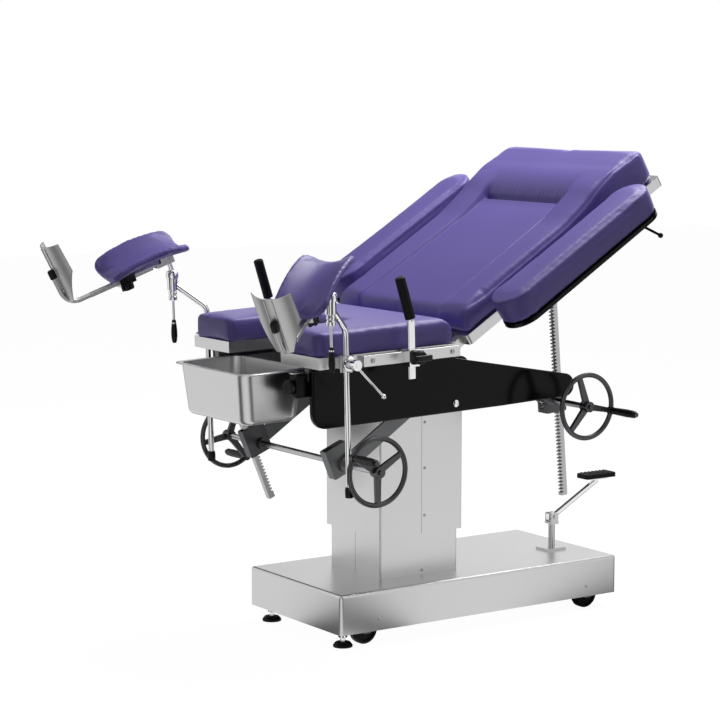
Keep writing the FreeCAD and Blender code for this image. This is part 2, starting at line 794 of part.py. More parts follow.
def beam_frame():
    """Two inner plates, cross members, the pivot shaft, basin runners and gearbox ears."""
    outer = panel_inner_y - panel_gap
    inner = outer - beam_plate_thickness
    parts = []
    for side in (-1, 1):
        parts.append(side_plate(panel_outline(9), side * inner, side * outer))
        for x0, x1 in ((-546, -525), (-382, -345), (-188, -152)):
            parts.append(box(x0, x1, side * (inner - 14), side * outer, beam_top - 30, seat_frame_bottom))
        parts.append(box(-545, -300, side * (basin_half_width + 4), side * inner,
                         basin_rim_z - 4 - slip_gap - 4, basin_rim_z - 4 - slip_gap))
        parts.append(disc_y(pivot_x, pivot_z, 40, side * (lug_y + lug_thickness / 2.0 + slip_gap), side * inner))
    for x0, x1, z0, z1 in ((-290, -250, 672, 724), (-60, -20, 640, 692), (140, 180, 604, 646)):
        parts.append(open_channel(x0, x1, -inner - 1, inner + 1, z0, z1))
    parts.append(disc_y(pivot_x, pivot_z, pivot_shaft_diameter, -outer, outer))
    parts.append(disc_y(pivot_x, pivot_z, pivot_cap_diameter, -panel_inner_y - panel_thickness - 3,
                        panel_inner_y + panel_thickness + 3))
    pin = unleaned(tilt_pin_point())
    parts.append(disc_y(pin.x, pin.z, 22, tilt_rack_y + rack_width / 2.0 + rack_side_gap, inner + 1))
    parts.append(disc_y(pin.x, pin.z, rack_pin_diameter, tilt_rack_y - rack_width / 2.0 - 4, inner))
    for y0, y1 in ((back_rack_y - 24, back_rack_y - 18), (back_rack_y + 18, back_rack_y + 24)):
        ear = side_plate(polygon([V(172, 0, 646), V(172, 0, 606), V(back_shaft_x - 16, 0, back_shaft_z - 10),
                                  V(back_shaft_x + 16, 0, back_shaft_z - 10), V(back_shaft_x + 18, 0, 610),
                                  V(back_shaft_x + 4, 0, 640)]), y0, y1)
        parts.append(ear)
    bore = disc_y(back_shaft_x, back_shaft_z, tilt_shaft_diameter + 2 * running_gap, -230, -100)
    return cut(fused(*parts), bore)


def seat_outline(grow):
    """The seat's outline with its front cut-out, larger or smaller by grow."""
    half = seat_half_width + grow
    front = seat_front_x - grow
    rear = seat_rear_x + grow
    cut_half = cut_half_width - grow
    cut_end = seat_front_x + cut_depth + grow
    return [(front, -half), (rear, -half), (rear, half), (front, half), (front, cut_half), (cut_end, cut_half),
            (cut_end, -cut_half), (front, -cut_half)]


def seat_frame():
    """A folded frame that follows the seat's outline, with hinge ears at the rear."""
    low = seat_frame_bottom
    high = seat_frame_top
    plate = flat_plate(seat_outline(0), low, high)
    half = seat_half_width
    cut_end = seat_front_x + cut_depth
    wall = sheet_wall
    window = box(cut_end + seat_member, seat_rear_x - seat_member, -half + seat_member, half - seat_member,
                 low - 1, high + 1)
    hollows = []
    for side in (-1, 1):
        hollows.append(box(seat_front_x + wall, seat_rear_x - wall, side * (half - wall),
                           side * (half - seat_member + wall), low - 1, high - wall))
        hollows.append(box(seat_front_x + seat_member, cut_end + 1, side * (cut_half_width + seat_member),
                           side * (half - seat_member), low - 1, high + 1))
        hollows.append(box(seat_front_x + wall, cut_end + wall, side * (cut_half_width + wall),
                           side * (cut_half_width + seat_member - wall), low - 1, high - wall))
        hollows.append(box(seat_front_x + wall, seat_front_x + seat_member - wall, side * (cut_half_width + wall),
                           side * (half - wall), low - 1, high - wall))
    hollows.append(box(cut_end + wall, cut_end + seat_member - wall, -half + wall, half - wall, low - 1, high - wall))
    hollows.append(box(seat_rear_x - seat_member + wall, seat_rear_x - wall, -half + wall, half - wall,
                       low - 1, high - wall))
    frame = plate.cut([window] + hollows)
    ears = []
    for side in (-1, 1):
        for y in (hinge_y - hinge_leaf / 2.0 - hinge_ear, hinge_y + hinge_leaf / 2.0):
            y0 = side * y
            y1 = side * (y + hinge_ear)
            ears.append(disc_y(hinge_x, hinge_z, 2 * hinge_radius, y0, y1))
            ears.append(box(seat_rear_x - 1, hinge_x, y0, y1, hinge_z - hinge_radius, hinge_z + hinge_radius))
        ears.append(disc_y(hinge_x, hinge_z, hinge_pin_diameter, side * (hinge_y - 20), side * (hinge_y + 20)))
    return fused(frame, *ears)


def seat_pad():
    low = seat_frame_top
    pad = flat_plate(seat_outline(pad_overhang), low, seat_pad_top)
    corners = []
    for edge in upright_edges(pad):
        if abs(edge.BoundBox.YMin) > cut_half_width + 10:
            corners.append(edge)
    pad = pad.makeFillet(pad_corner_radius, corners)
    inner = [edge for edge in upright_edges(pad) if abs(edge.BoundBox.YMin) < cut_half_width + 1]
    pad = pad.makeFillet(18.0, inner)
    pad = pad.makeFillet(pad_edge_radius, edges_at_height(pad, seat_pad_top))
    rear = seat_rear_x + pad_overhang
    radius = pad_rear_radius
    trim = box(rear - radius, rear + 5, -400, 400, seat_pad_top - radius, seat_pad_top + 5)
    trim = trim.cut(disc_y(rear - radius, seat_pad_top - radius, 2 * radius, -401, 401))
    return pad.cut(trim)


def side_rail(side):
    """A flat rail on stand-offs with two countersunk screws."""
    frame_y = seat_half_width
    rail_y = frame_y + rail_standoff
    bar = box(rail_front_x, rail_rear_x, side * rail_y, side * (rail_y + rail_thickness),
              rail_bottom, rail_bottom + rail_height)
    bar = bar.makeFillet(2.0, [edge for edge in bar.Edges if edge.BoundBox.XLength > 100])
    parts = [bar]
    for x in (rail_front_x + 12, rail_rear_x - 12):
        parts.append(box(x - 12, x + 12, side * frame_y, side * (rail_y + 1), rail_bottom + 4, rail_bottom + 24))
    return fused(*parts)


def leg_clamp(side):
    """A clamp on the side of the seat frame with an upright socket for the rod."""
    frame_y = seat_half_width
    plate = box(-548, -462, side * frame_y, side * (frame_y + 9), 744, 770)
    boss = disc_z(rod_x, side * rod_y, 34, 736, 776)
    neck = box(rod_x - 14, rod_x + 14, side * (frame_y + 1), side * rod_y, 744, 770)
    nose = disc_y(rod_x, 756, 24, side * (rod_y + 10), side * (rod_y + 30))
    body = fused(plate, boss, neck, nose)
    socket = disc_z(rod_x, side * rod_y, rod_diameter + 2 * running_gap, 700, 800)
    thread = disc_y(rod_x, 756, 10 + 2 * running_gap, side * (rod_y + 5), side * (rod_y + 40))
    return cut(body, socket, thread)


def clamp_handle():
    """The clamp's screw with its eye and a sloping handle bar, on the near side."""
    y = -rod_y
    screw = disc_y(rod_x, 756, 10, y - rod_diameter / 2.0 - slip_gap, y - 50)
    eye = disc_y(rod_x, 756, 26, y - 31, y - 49)
    far_end = V(rod_x + 80, y - 40, 756 - 84)
    bar = rod(V(rod_x, y - 40, 756), far_end, 7)
    ball = Part.makeSphere(6.5, far_end)
    return fused(screw, eye, bar, ball)


# Back section, built flat

def back_frame():
    """Two side tubes, cross tubes, hinge leaves, cheeks for the rack and the arm board brackets."""
    x0 = hinge_x + back_frame_start
    x1 = hinge_x + back_length
    low = hinge_z + back_frame_low
    high = hinge_z + back_frame_high
    half = back_half_width
    plate = box(x0, x1, -half, half, low, high)
    plate = plate.makeFillet(10.0, upright_edges(plate))
    wall = sheet_wall
    hollows = []
    bars = [x0, hinge_x + rack_top_u - back_member / 2.0, x1 - back_member]
    for side in (-1, 1):
        hollows.append(box(x0 + wall, x1 - wall, side * (half - wall), side * (half - back_member + wall),
                           low - 1, high - wall))
    for i in range(2):
        hollows.append(box(bars[i] + back_member, bars[i + 1], -half + back_member, half - back_member,
                           low - 1, high + 1))
    for x in bars:
        hollows.append(box(x + wall, x + back_member - wall, -half + wall, half - wall, low - 1, high - wall))
    parts = [plate.cut(hollows)]
    for side in (-1, 1):
        y0 = side * (hinge_y - hinge_leaf / 2.0 + slip_gap)
        y1 = side * (hinge_y + hinge_leaf / 2.0 - slip_gap)
        parts.append(disc_y(hinge_x, hinge_z, 2 * hinge_radius, y0, y1))
        parts.append(box(hinge_x, x0 + wall + 2, y0, y1, low, high - 3))
        parts.append(box(hinge_x + arm_pivot_u - 22, hinge_x + arm_pivot_u + 22, side * (half - 20),
                         side * (arm_pivot_y + 20), low, low + 6))
        parts.append(disc_z(hinge_x + arm_pivot_u, side * arm_pivot_y, arm_pin_diameter, low, hinge_z + 8))
    cheek_x = hinge_x + rack_top_u
    for y in (back_rack_y - rack_width / 2.0 - slip_gap - cheek_thickness, back_rack_y + rack_width / 2.0 + slip_gap):
        cheek = side_plate(polygon([V(cheek_x - 30, 0, high - 4), V(cheek_x + 30, 0, high - 4),
                                    V(cheek_x + 24, 0, hinge_z + rack_top_v - 18),
                                    V(cheek_x - 24, 0, hinge_z + rack_top_v - 18)]), y, y + cheek_thickness)
        parts.append(cheek)
    head = disc_y(cheek_x, hinge_z + rack_top_v, 18, back_rack_y - 14.3, back_rack_y - 20)
    nut = disc_y(cheek_x, hinge_z + rack_top_v, 18, back_rack_y + 14.3, back_rack_y + 20)
    room = box(cheek_x - 34, cheek_x + 34, back_rack_y - rack_width / 2.0 - slip_gap,
               back_rack_y + rack_width / 2.0 + slip_gap, low - 1, high - wall - 4)
    frame = fused(*(parts + [head, nut])).cut(room)
    bore_tools = [disc_y(hinge_x, hinge_z, hinge_pin_diameter + 2 * running_gap, -300, 300)]
    return cut(frame, *bore_tools)


def back_pad():
    """A flat cushion that rises in a curve to the pillow at the head end."""
    low = hinge_z + back_frame_high
    top = hinge_z + back_pad_top
    x0 = hinge_x + back_pad_start
    x1 = hinge_x + back_length + back_pad_overhang
    half = back_half_width + 4
    start = V(hinge_x + pillow_start, 0, top)
    crest = V(hinge_x + pillow_crest, 0, top + pillow_rise)
    ramp = Part.BSplineCurve()
    first = V(start.x + pillow_ramp_first, 0, top + 4)
    second = V(start.x + pillow_ramp_second, 0, top + pillow_rise - 8)
    ramp.interpolate(Points=[start, first, second, crest],
                     InitialTangent=V(1, 0, 0), FinalTangent=V(1, 0, 0))
    round_in = 1.0 - math.sqrt(0.5)
    crown = top + pillow_rise
    head_low = V(x1, 0, crown - back_pad_end_radius)
    head_middle = V(x1 - back_pad_end_radius * round_in, 0, crown - back_pad_end_radius * round_in)
    head_high = V(x1 - back_pad_end_radius, 0, crown)
    foot_high = V(x0 + back_pad_end_radius, 0, top)
    foot_low = V(x0, 0, top - back_pad_end_radius)
    foot_middle = V(x0 + back_pad_end_radius * round_in, 0, top - back_pad_end_radius * round_in)
    edges = [Part.makeLine(V(x0, 0, low), V(x1, 0, low)), Part.makeLine(V(x1, 0, low), head_low),
             Part.Arc(head_low, head_middle, head_high).toShape(), Part.makeLine(head_high, crest), ramp.toShape(),
             Part.makeLine(start, foot_high), Part.Arc(foot_high, foot_middle, foot_low).toShape(),
             Part.makeLine(foot_low, V(x0, 0, low))]
    whole = side_plate(edges, -half, half)
    side_edges = []
    for side in (-1, 1):
        for edge in edges_across(whole, side * half):
            if edge.BoundBox.ZMax > top - back_pad_end_radius + 1:
                side_edges.append(edge)
    whole = whole.makeFillet(12.0, side_edges)
    plan = box(x0 - 1, x1, -half, half, low, crown + 10)
    plan = plan.makeFillet(60.0, [edge for edge in upright_edges(plan) if edge.BoundBox.XMin > x1 - 1])
    return whole.common(plan).Solids[0]


def stadium(x0, x1, y_middle, half_width, z0, z1):
    """A plate with straight sides and half-round ends."""
    a = V(x0 + half_width, y_middle - half_width, z0)
    b = V(x1 - half_width, y_middle - half_width, z0)
    c = V(x1, y_middle, z0)
    d = V(x1 - half_width, y_middle + half_width, z0)
    e = V(x0 + half_width, y_middle + half_width, z0)
    f = V(x0, y_middle, z0)
    wire = Part.Wire([Part.makeLine(a, b), Part.Arc(b, c, d).toShape(), Part.makeLine(d, e),
                      Part.Arc(e, f, a).toShape()])
    return Part.Face(wire).extrude(V(0, 0, z1 - z0))


def arm_board():
    """The near arm's board with its pivot hub and locking lever."""
    y = -arm_y
    board = stadium(hinge_x + arm_start + 6, hinge_x + arm_end - 6, y, arm_half_width - 6,
                    hinge_z + arm_pad_bottom - arm_board_thickness - 0.4, hinge_z + arm_pad_bottom)
    px = hinge_x + arm_pivot_u
    py = -arm_pivot_y
    hub = disc_z(px, py, 36, hinge_z + back_frame_low + 6 + slip_gap, hinge_z + 2)
    lever_foot = V(px - 20, py - 30, hinge_z - 4)
    lever = rod(lever_foot, V(px + 8, py - 62, hinge_z - 58), 7)
    knob = Part.makeSphere(7, V(px + 8, py - 62, hinge_z - 58))
    boss = disc_z(px - 20, py - 30, 18, hinge_z - 8.5, hinge_z + 2)
    whole = fused(board, hub, lever, knob, boss)
    return cut(whole, disc_z(px, py, arm_pin_diameter + 2 * running_gap, hinge_z - 40, hinge_z + 8.3))


def arm_pad():
    y = -arm_y
    pad = stadium(hinge_x + arm_start, hinge_x + arm_end, y, arm_half_width,
                  hinge_z + arm_pad_bottom, hinge_z + arm_pad_top)
    return pad.makeFillet(20.0, edges_at_height(pad, hinge_z + arm_pad_top))


# Back drive, placed in the level frame of the top

def back_point(u, v):
    """A point of the raised back, in the level frame of the top."""
    turn = math.radians(back_angle)
    return V(hinge_x + u * math.cos(turn) - v * math.sin(turn), 0,
             hinge_z + u * math.sin(turn) + v * math.cos(turn))


def back_drive():
    """The rack's top pivot, its downward direction and the direction to the pinion."""
    top = back_point(rack_top_u, rack_top_v)
    shaft = V(back_shaft_x, 0, back_shaft_z)
    centre_line = top - shaft
    length = centre_line.Length
    lead = math.asin((back_pitch_radius + 1.25 * tooth_module + rack_body / 2.0) / length)
    line = math.atan2(centre_line.x, centre_line.z)
    direction = line - lead
    down = V(-math.sin(direction), 0, -math.cos(direction))
    toward_gear = V(down.z, 0, -down.x)
    return top, shaft, down, toward_gear


def back_rack():
    """The toothed bar with an eye at the top, where it hangs between two cheeks."""
    top, shaft, down, toward_gear = back_drive()
    origin = shaft - toward_gear * back_pitch_radius
    reach = (top - origin).dot(down)
    y0 = back_rack_y - rack_width / 2.0
    y1 = back_rack_y + rack_width / 2.0
    bar = rack_bar(origin, down, toward_gear, -reach, back_rack_length + reach, y0, y1, -reach - 30,
                   back_rack_length + reach - 10)
    eye = disc_y(top.x, top.z, 2 * rack_eye_radius, y0, y1)
    return fused(bar, eye)


def back_block(along0, along1, away0, away1, y0, y1):
    """A block in the directions of the back drive, from the shaft."""
    top, shaft, down, toward_gear = back_drive()
    points = [shaft + down * along0 - toward_gear * away0, shaft + down * along1 - toward_gear * away0,
              shaft + down * along1 - toward_gear * away1, shaft + down * along0 - toward_gear * away1]
    return side_plate(polygon(points), y0, y1)


def back_gearbox():
    """The block that guides the rack on the pinion and swings on the shaft."""
    inner = rack_width / 2.0 + rack_side_gap
    outer = inner + gearbox_wall + 5.0
    rack_back = back_pitch_radius + 1.25 * tooth_module + rack_body
    block = back_block(-20, 34, -22, rack_back + 0.4 + gearbox_wall, back_rack_y - outer, back_rack_y + outer)
    block = block.makeFillet(4.0, [edge for edge in block.Edges if edge.BoundBox.YLength > 20])
    channel = back_block(-60, 60, back_pitch_radius - tooth_module - 1, rack_back + 0.4,
                         back_rack_y - inner, back_rack_y + inner)
    pocket = disc_y(back_shaft_x, back_shaft_z, 2 * (back_pitch_radius + tooth_module + 1.5),
                    back_rack_y - inner, back_rack_y + inner)
    bore = disc_y(back_shaft_x, back_shaft_z, tilt_shaft_diameter + 2 * running_gap, -300, -100)
    return cut(block, channel, pocket, bore)


def back_shaft():
    top, shaft, down, toward_gear = back_drive()
    half = rack_width / 2.0
    bar = disc_y(back_shaft_x, back_shaft_z, tilt_shaft_diameter, back_wheel_y + hub_length / 2.0, back_rack_y + 30)
    gear = pinion(back_pinion_teeth, back_shaft_x, back_shaft_z, toward_gear * -1,
                  back_rack_y - half, back_rack_y + half, back_tooth_clearance)
    return fused(bar, gear)


# Leg holders, near side, level frame

def rod_path():
    """Lower end, bend and upper end of the near rod."""
    low = V(rod_x, -rod_y, rod_bottom)
    bend = V(rod_x, -rod_y, rod_bend_z)
    high = V(knuckle_x, -knuckle_y, knuckle_z)
    return low, bend, high


def bent_rod(low, bend, high, radius, diameter):
    """A round bar with one bend of the given radius."""
    first = (bend - low).normalize()
    second = (high - bend).normalize()
    turn = first.getAngle(second)
    setback = radius * math.tan(turn / 2.0)
    start = bend - first * setback
    end = bend + second * setback
    inward = (second - first).normalize()
    centre = bend + inward * (radius / math.cos(turn / 2.0))
    middle = centre - inward * radius
    path = Part.Wire([Part.makeLine(low, start), Part.Arc(start, middle, end).toShape(), Part.makeLine(end, high)])
    circle = Part.Wire([Part.makeCircle(diameter / 2.0, low, first)])
    return path.makePipeShell([circle], True, False)


def leg_rod():
    """The bent rod with its lower cap and the socket for the knuckle."""
    low, bend, high = rod_path()
    bar = bent_rod(low, bend, high, rod_bend_radius, rod_diameter)
    cap = disc_z(rod_x, -rod_y, rod_diameter + 4, rod_bottom - 12, rod_bottom + 10)
    socket = disc_z(knuckle_x, -knuckle_y, knuckle_diameter, knuckle_z - 18, knuckle_z + 11)
    hole = disc_z(knuckle_x, -knuckle_y, 12 + 2 * running_gap, knuckle_z - 40, knuckle_z + 40)
    return cut(fused(bar, cap, socket), hole)


def in_holder(shape, yaw):
    """Takes a shape from the holder's own frame to the near leg holder in the level frame."""
    copy = shape.copy()
    copy.rotate(V(0, 0, 0), V(0, 0, 1), yaw)
    copy.translate(V(knuckle_x, -knuckle_y, knuckle_z))
    return copy


def sloped(shape, slope):
    """Turns a shape of the knee frame down about the knee pivot."""
    return turned(shape, knee_pivot_x, knee_pivot_rise, -slope)


def rolled(shape, roll):
    """Turns a shape of the knee frame about its bar, so that the inner wing goes down."""
    copy = shape.copy()
    copy.rotate(V(0, 0, knee_pivot_rise), V(1, 0, 0), -roll)
    return copy


def knuckle(yaw, slope, roll):
    """The clamp on the rod's end: a pin, two collars, a neck, an eye and the hanging lever."""
    pin = disc_z(0, 0, 12, -30, 20)
    lower = disc_z(0, 0, 18, -30, -18 - slip_gap)
    upper = disc_z(0, 0, 30, 11 + slip_gap, 32)
    neck = rod(V(0, 0, 28), V(knee_pivot_x, 0, knee_pivot_rise - 6), 14)
    eye = disc_y(knee_pivot_x, knee_pivot_rise, 20, -7, 7)
    lever = rod(V(0, 0, -29), V(0, 0, -150), 7)
    grip = disc_z(0, 0, 13, -150, -104)
    screw = disc_z(0, 0, 18, -44, -29)
    whole = fused(pin, lower, upper, neck, eye, lever, grip, screw)
    bore = disc_y(knee_pivot_x, knee_pivot_rise, 8 + 2 * running_gap, -20, 20)
    return in_holder(cut(whole, bore), yaw)


def knee_frame(yaw, slope, roll):
    """The fork on the knuckle, the bar under the pad, its seat and the clamp for the boot bar."""
    z = knee_pivot_rise
    parts = []
    for side in (-1, 1):
        parts.append(box(-38, 0, side * (7 + slip_gap), side * 13, z - 11, z + 11))
    parts.append(disc_y(knee_pivot_x, z, 8, -15, 15))
    parts.append(box(-52, -32, -13, 13, z - 11, z + 11))
    parts.append(box(-150, -40, -9, 9, z - 5, z + 9))
    seat = box(knee_pad_middle - 38, knee_pad_middle + 38, -16, 16, z + 7, z + 30)
    seat = cut(seat, knee_pad_solid())
    parts.append(rolled(sorted(seat.Solids, key=lambda solid: solid.CenterOfMass.z)[0], roll))
    clamp = box(-168, -122, -16, 16, z - 16, z + 14)
    clamp = clamp.makeFillet(4.0, [edge for edge in clamp.Edges if edge.BoundBox.XLength > 20])
    parts.append(clamp)
    whole = fused(*parts)
    slot = box(-200, -40, -8.3, 8.3, z - 10.3, z + 2.3)
    thread = disc_z(-145, 0, 8 + 2 * running_gap, z - 30, z - 9)
    return in_holder(sloped(cut(whole, slot, thread), slope), yaw)


def star_knob(yaw, slope, roll):
    """A lobed knob under the clamp of the boot bar."""
    z = knee_pivot_rise - 16 - slip_gap
    parts = [disc_z(-145, 0, 24, z - 16, z), disc_z(-145, 0, 8, z - 4, z + 4)]
    for i in range(6):
        turn = math.radians(60 * i)
        parts.append(disc_z(-145 + 13 * math.cos(turn), 13 * math.sin(turn), 10, z - 15, z - 3))
    return in_holder(sloped(fused(*parts), slope), yaw)


def knee_pad_solid():
    """A saddle: a trough across the bar that droops in an arc along it, with rounded corners."""
    half_angle = math.radians(knee_pad_half_angle)
    low = knee_pivot_rise + 24.0
    centre = V(knee_pad_middle, 0, low + knee_pad_thickness + knee_pad_radius)

    def arc_point(r, angle):
        return centre + V(0, r * math.sin(angle), -r * math.cos(angle))

    inner = knee_pad_radius
    outer = knee_pad_radius + knee_pad_thickness
    outline = [Part.Arc(arc_point(outer, -half_angle), arc_point(outer, 0), arc_point(outer, half_angle)).toShape(),
               Part.makeLine(arc_point(outer, half_angle), arc_point(inner, half_angle)),
               Part.Arc(arc_point(inner, half_angle), arc_point(inner, 0), arc_point(inner, -half_angle)).toShape(),
               Part.makeLine(arc_point(inner, -half_angle), arc_point(outer, -half_angle))]
    section = Part.Face(Part.Wire(outline))
    axis_point = V(knee_pad_middle, 0, low - knee_pad_sag_radius)
    turn = math.degrees(knee_pad_length / knee_pad_sag_radius)
    section.rotate(axis_point, V(0, 1, 0), -turn / 2.0)
    pad = section.revolve(axis_point, V(0, 1, 0), turn)
    corners = []
    for edge in pad.Edges:
        middle = edge.CenterOfMass
        if edge.Length < knee_pad_thickness + 1 and abs(middle.y) > 40:
            corners.append(edge)
    return pad.makeFillet(30.0, corners)


def knee_pad(yaw, slope, roll):
    return in_holder(sloped(rolled(knee_pad_solid(), roll), slope), yaw)


def boot_plate():
    """A foot plate like a curved shield: half a tube cut to a tapering outline, with two ribs behind."""
    outer_radius = boot_plate_radius
    inner_radius = boot_plate_radius - boot_plate_wall
    outer_face = boot_rod_diameter / 2.0 + 1.5
    centre_x = outer_face + outer_radius
    shell = disc_z(centre_x, 0, 2 * outer_radius, 0, boot_plate_height).cut(
        disc_z(centre_x, 0, 2 * inner_radius, -1, boot_plate_height + 1))
    half_top = boot_plate_top / 2.0
    half_bottom = boot_plate_bottom / 2.0
    high = boot_plate_height
    outline = [V(outer_face - 5, -half_bottom, 6), V(outer_face - 5, -half_top, high * 0.52),
               V(outer_face - 5, -half_top + 2, high), V(outer_face - 5, half_top - 2, high),
               V(outer_face - 5, half_top, high * 0.52), V(outer_face - 5, half_bottom, 6)]
    shield = Part.Face(Part.makePolygon(outline + outline[:1])).extrude(V(outer_radius, 0, 0))
    plate = shell.common(shield).Solids[0]
    ribs = []
    for side in (-1, 1):
        ribs.append(box(outer_face - 1.4, outer_face + 1.2, side * 11, side * 8, 12, high - 3))
    return fused(plate, *ribs)


def boot(yaw, slope, roll):
    """The flat bar that slides in the clamp, its upturned end and the formed foot plate."""
    z = knee_pivot_rise - 4
    turn = math.radians(boot_lean)
    along = V(-math.sin(turn), 0, math.cos(turn))
    bend = V(knee_pivot_x - boot_bar_length, 0, z)
    bar = box(bend.x + 70, -64, -8, 8, z - 6, z + 6)
    bar = bar.makeFillet(2.5, [edge for edge in bar.Edges if edge.BoundBox.XLength > 20])
    riser = bent_rod(V(bend.x + 74, 0, z), bend, bend + along * 88, boot_bend_radius, boot_rod_diameter)
    cap = rod(bend + along * 82, bend + along * 100, boot_rod_diameter + 3)
    pad = box(-2, boot_rod_diameter / 2.0 + 3, -7, 7, 46, 80)
    plate = fused(boot_plate(), pad)
    plate.rotate(V(0, 0, 0), V(0, 1, 0), -boot_lean)
    plate.translate(bend)
    return in_holder(sloped(fused(bar, riser, cap, plate), slope), yaw)


def save_holder(name, build):
    """Writes a piece of both leg holders, each in its own resting position."""
    save(name + "_near", lean(build(holder_yaw_near, holder_slope_near, holder_roll_near)))
    save(name + "_far", lean(mirrored(build(holder_yaw_far, holder_slope_far, holder_roll_far))))


# Hand grips, near side, level frame

def leaned_grip(shape):
    """Leans the handle of the near post towards the foot end."""
    return turned(shape, grip_x, grip_bend_z, -grip_lean)


def grip_post():
    """A flat post with a clamp that hooks over the side rail."""
    y = -grip_post_y
    rail_outer = seat_half_width + rail_standoff + rail_thickness
    flat = box(grip_x - 11, grip_x + 11, y - 4, y + 4, 700, grip_bend_z)
    flat = flat.makeFillet(3.0, [edge for edge in flat.Edges if edge.BoundBox.ZLength > 100])
    tang = leaned_grip(disc_z(grip_x, y, 12, grip_bend_z - 4, grip_bend_z + 4 + grip_rubber_length - 10))
    low = rail_bottom - slip_gap
    high = rail_bottom + rail_height + slip_gap
    block = box(grip_x - 15, grip_x + 15, y - 14, -rail_outer + rail_thickness + 3.5, low - 8, high + 7)
    slot = box(grip_x - 20, grip_x + 20, -rail_outer - slip_gap, -rail_outer + rail_thickness + slip_gap, low, high)
    mouth = box(grip_x - 20, grip_x + 20, -rail_outer + 4, -rail_outer + rail_thickness + 20, low + 8, high - 8)
    screw_hole = disc_y(grip_x + 8, rail_bottom + rail_height / 2.0, 8 + 2 * running_gap, y - 30, -rail_outer - slip_gap)
    body = cut(fused(flat, tang, block), slot, mouth)
    return cut(body, screw_hole)


def hand_grip():
    """The rubber sleeve on the post."""
    y = -grip_post_y
    z0 = grip_bend_z + 4.3
    sleeve = disc_z(grip_x, y, grip_rubber_diameter, z0, z0 + grip_rubber_length)
    sleeve = sleeve.makeFillet(5.0, edges_at_height(sleeve, z0 + grip_rubber_length))
    sleeve = cut(sleeve, disc_z(grip_x, y, 12 + 2 * running_gap, z0 - 5, z0 + grip_rubber_length - 6))
    return leaned_grip(sleeve)


def grip_knob():
    """The round knob that locks the post's clamp."""
    y = -grip_post_y
    z = rail_bottom + rail_height / 2.0
    x = grip_x + 8
    stem = disc_y(x, z, 8, -seat_half_width - rail_standoff - rail_thickness - 2 * slip_gap, y - 20)
    knob = disc_y(x, z, 34, y - 14 - slip_gap, y - 36)
    knob = knob.makeFillet(5.0, edges_across(knob, y - 36))
    return fused(stem, knob)


# Basin

def basin_shell(x0, x1, half, top, bottom, taper, radius):
    """A tapered block with rounded corners, for the outside or the inside of the basin."""
    def ring(inset, z):
        block = box(x0 + inset, x1 - inset, -half + inset, half - inset, z, z + 1)
        block = block.makeFillet(radius, upright_edges(block))
        for face in block.Faces:
            if abs(face.BoundBox.ZMax - z) < 0.001:
                return face.OuterWire
        return None
    return Part.makeLoft([ring(0, top), ring(taper, bottom)], True)


def basin():
    """A deep-drawn basin with a rolled rim."""
    top = basin_rim_z
    bottom = top - basin_depth
    outer = basin_shell(basin_front_x + 9, basin_rear_x - 9, basin_half_width - 9, top, bottom, 11, 30)
    outer = outer.makeFillet(16.0, edges_at_height(outer, bottom))
    inner = basin_shell(basin_front_x + 9 + basin_wall, basin_rear_x - 9 - basin_wall,
                        basin_half_width - 9 - basin_wall, top + 1, bottom + basin_wall, 11, 28.4)
    inner = inner.makeFillet(14.4, edges_at_height(inner, bottom + basin_wall))
    rim = box(basin_front_x, basin_rear_x, -basin_half_width - 9, basin_half_width + 9, top - 4, top)
    rim = rim.makeFillet(34.0, upright_edges(rim))
    rim = rim.makeFillet(1.8, edges_at_height(rim, top) + edges_at_height(rim, top - 4))
    return cut(fused(outer, rim), inner)


# Files

save("base_cover", base_cover())
save("base_frame", base_frame())
save("lower_column_cover", column_cover(lower_cover_length, lower_cover_width, base_top, lower_cover_top, True))
save("hydraulic_cylinder", hydraulic_cylinder(), hydraulic_pump())
caster_places = (("foot_near", caster_foot_x, -caster_y), ("foot_far", caster_foot_x, caster_y),
                 ("head_near", caster_head_x, -caster_y), ("head_far", caster_head_x, caster_y))
save("caster_forks", *[caster_fork(x, y) for name, x, y in caster_places])
for name, x, y in caster_places:
    save("caster_wheel_" + name, caster_wheel(x, y))
save("levelling_foot_near", levelling_foot(-foot_y))
save("levelling_foot_far", levelling_foot(foot_y))
save("pedal_post", pedal_post())
save("pedal_lever", pedal_lever())
save("pedal_pad", pedal_pad())

save("upper_column_cover", column_cover(upper_cover_length, upper_cover_width, upper_cover_bottom,
                                        upper_cover_top, False))
save("column_head", column_head())
save("tilt_arms", *tilt_arms())
save("tilt_gearbox", tilt_housing(1, False))
shaft_bar = disc_y(tilt_shaft_x, tilt_shaft_z, tilt_shaft_diameter, -tilt_wheel_y + hub_length / 2.0,
                   tilt_wheel_y - hub_length / 2.0)
tilt_gear = pinion(tilt_pinion_teeth, tilt_shaft_x, tilt_shaft_z, outward,
                   tilt_rack_y - rack_width / 2.0, tilt_rack_y + rack_width / 2.0, tilt_tooth_clearance)
save("tilt_shaft", fused(shaft_bar, tilt_gear))
save("tilt_handwheels", handwheel(tilt_shaft_x, tilt_shaft_z, -tilt_wheel_y, -1, (30, 150, 270), 150),
     handwheel(tilt_shaft_x, tilt_shaft_z, tilt_wheel_y, 1, (70, 190, 310), 310))
save("tilt_grip_near", crank_grip(tilt_shaft_x, tilt_shaft_z, -tilt_wheel_y, -1, 150))
save("tilt_grip_far", crank_grip(tilt_shaft_x, tilt_shaft_z, tilt_wheel_y, 1, 310))

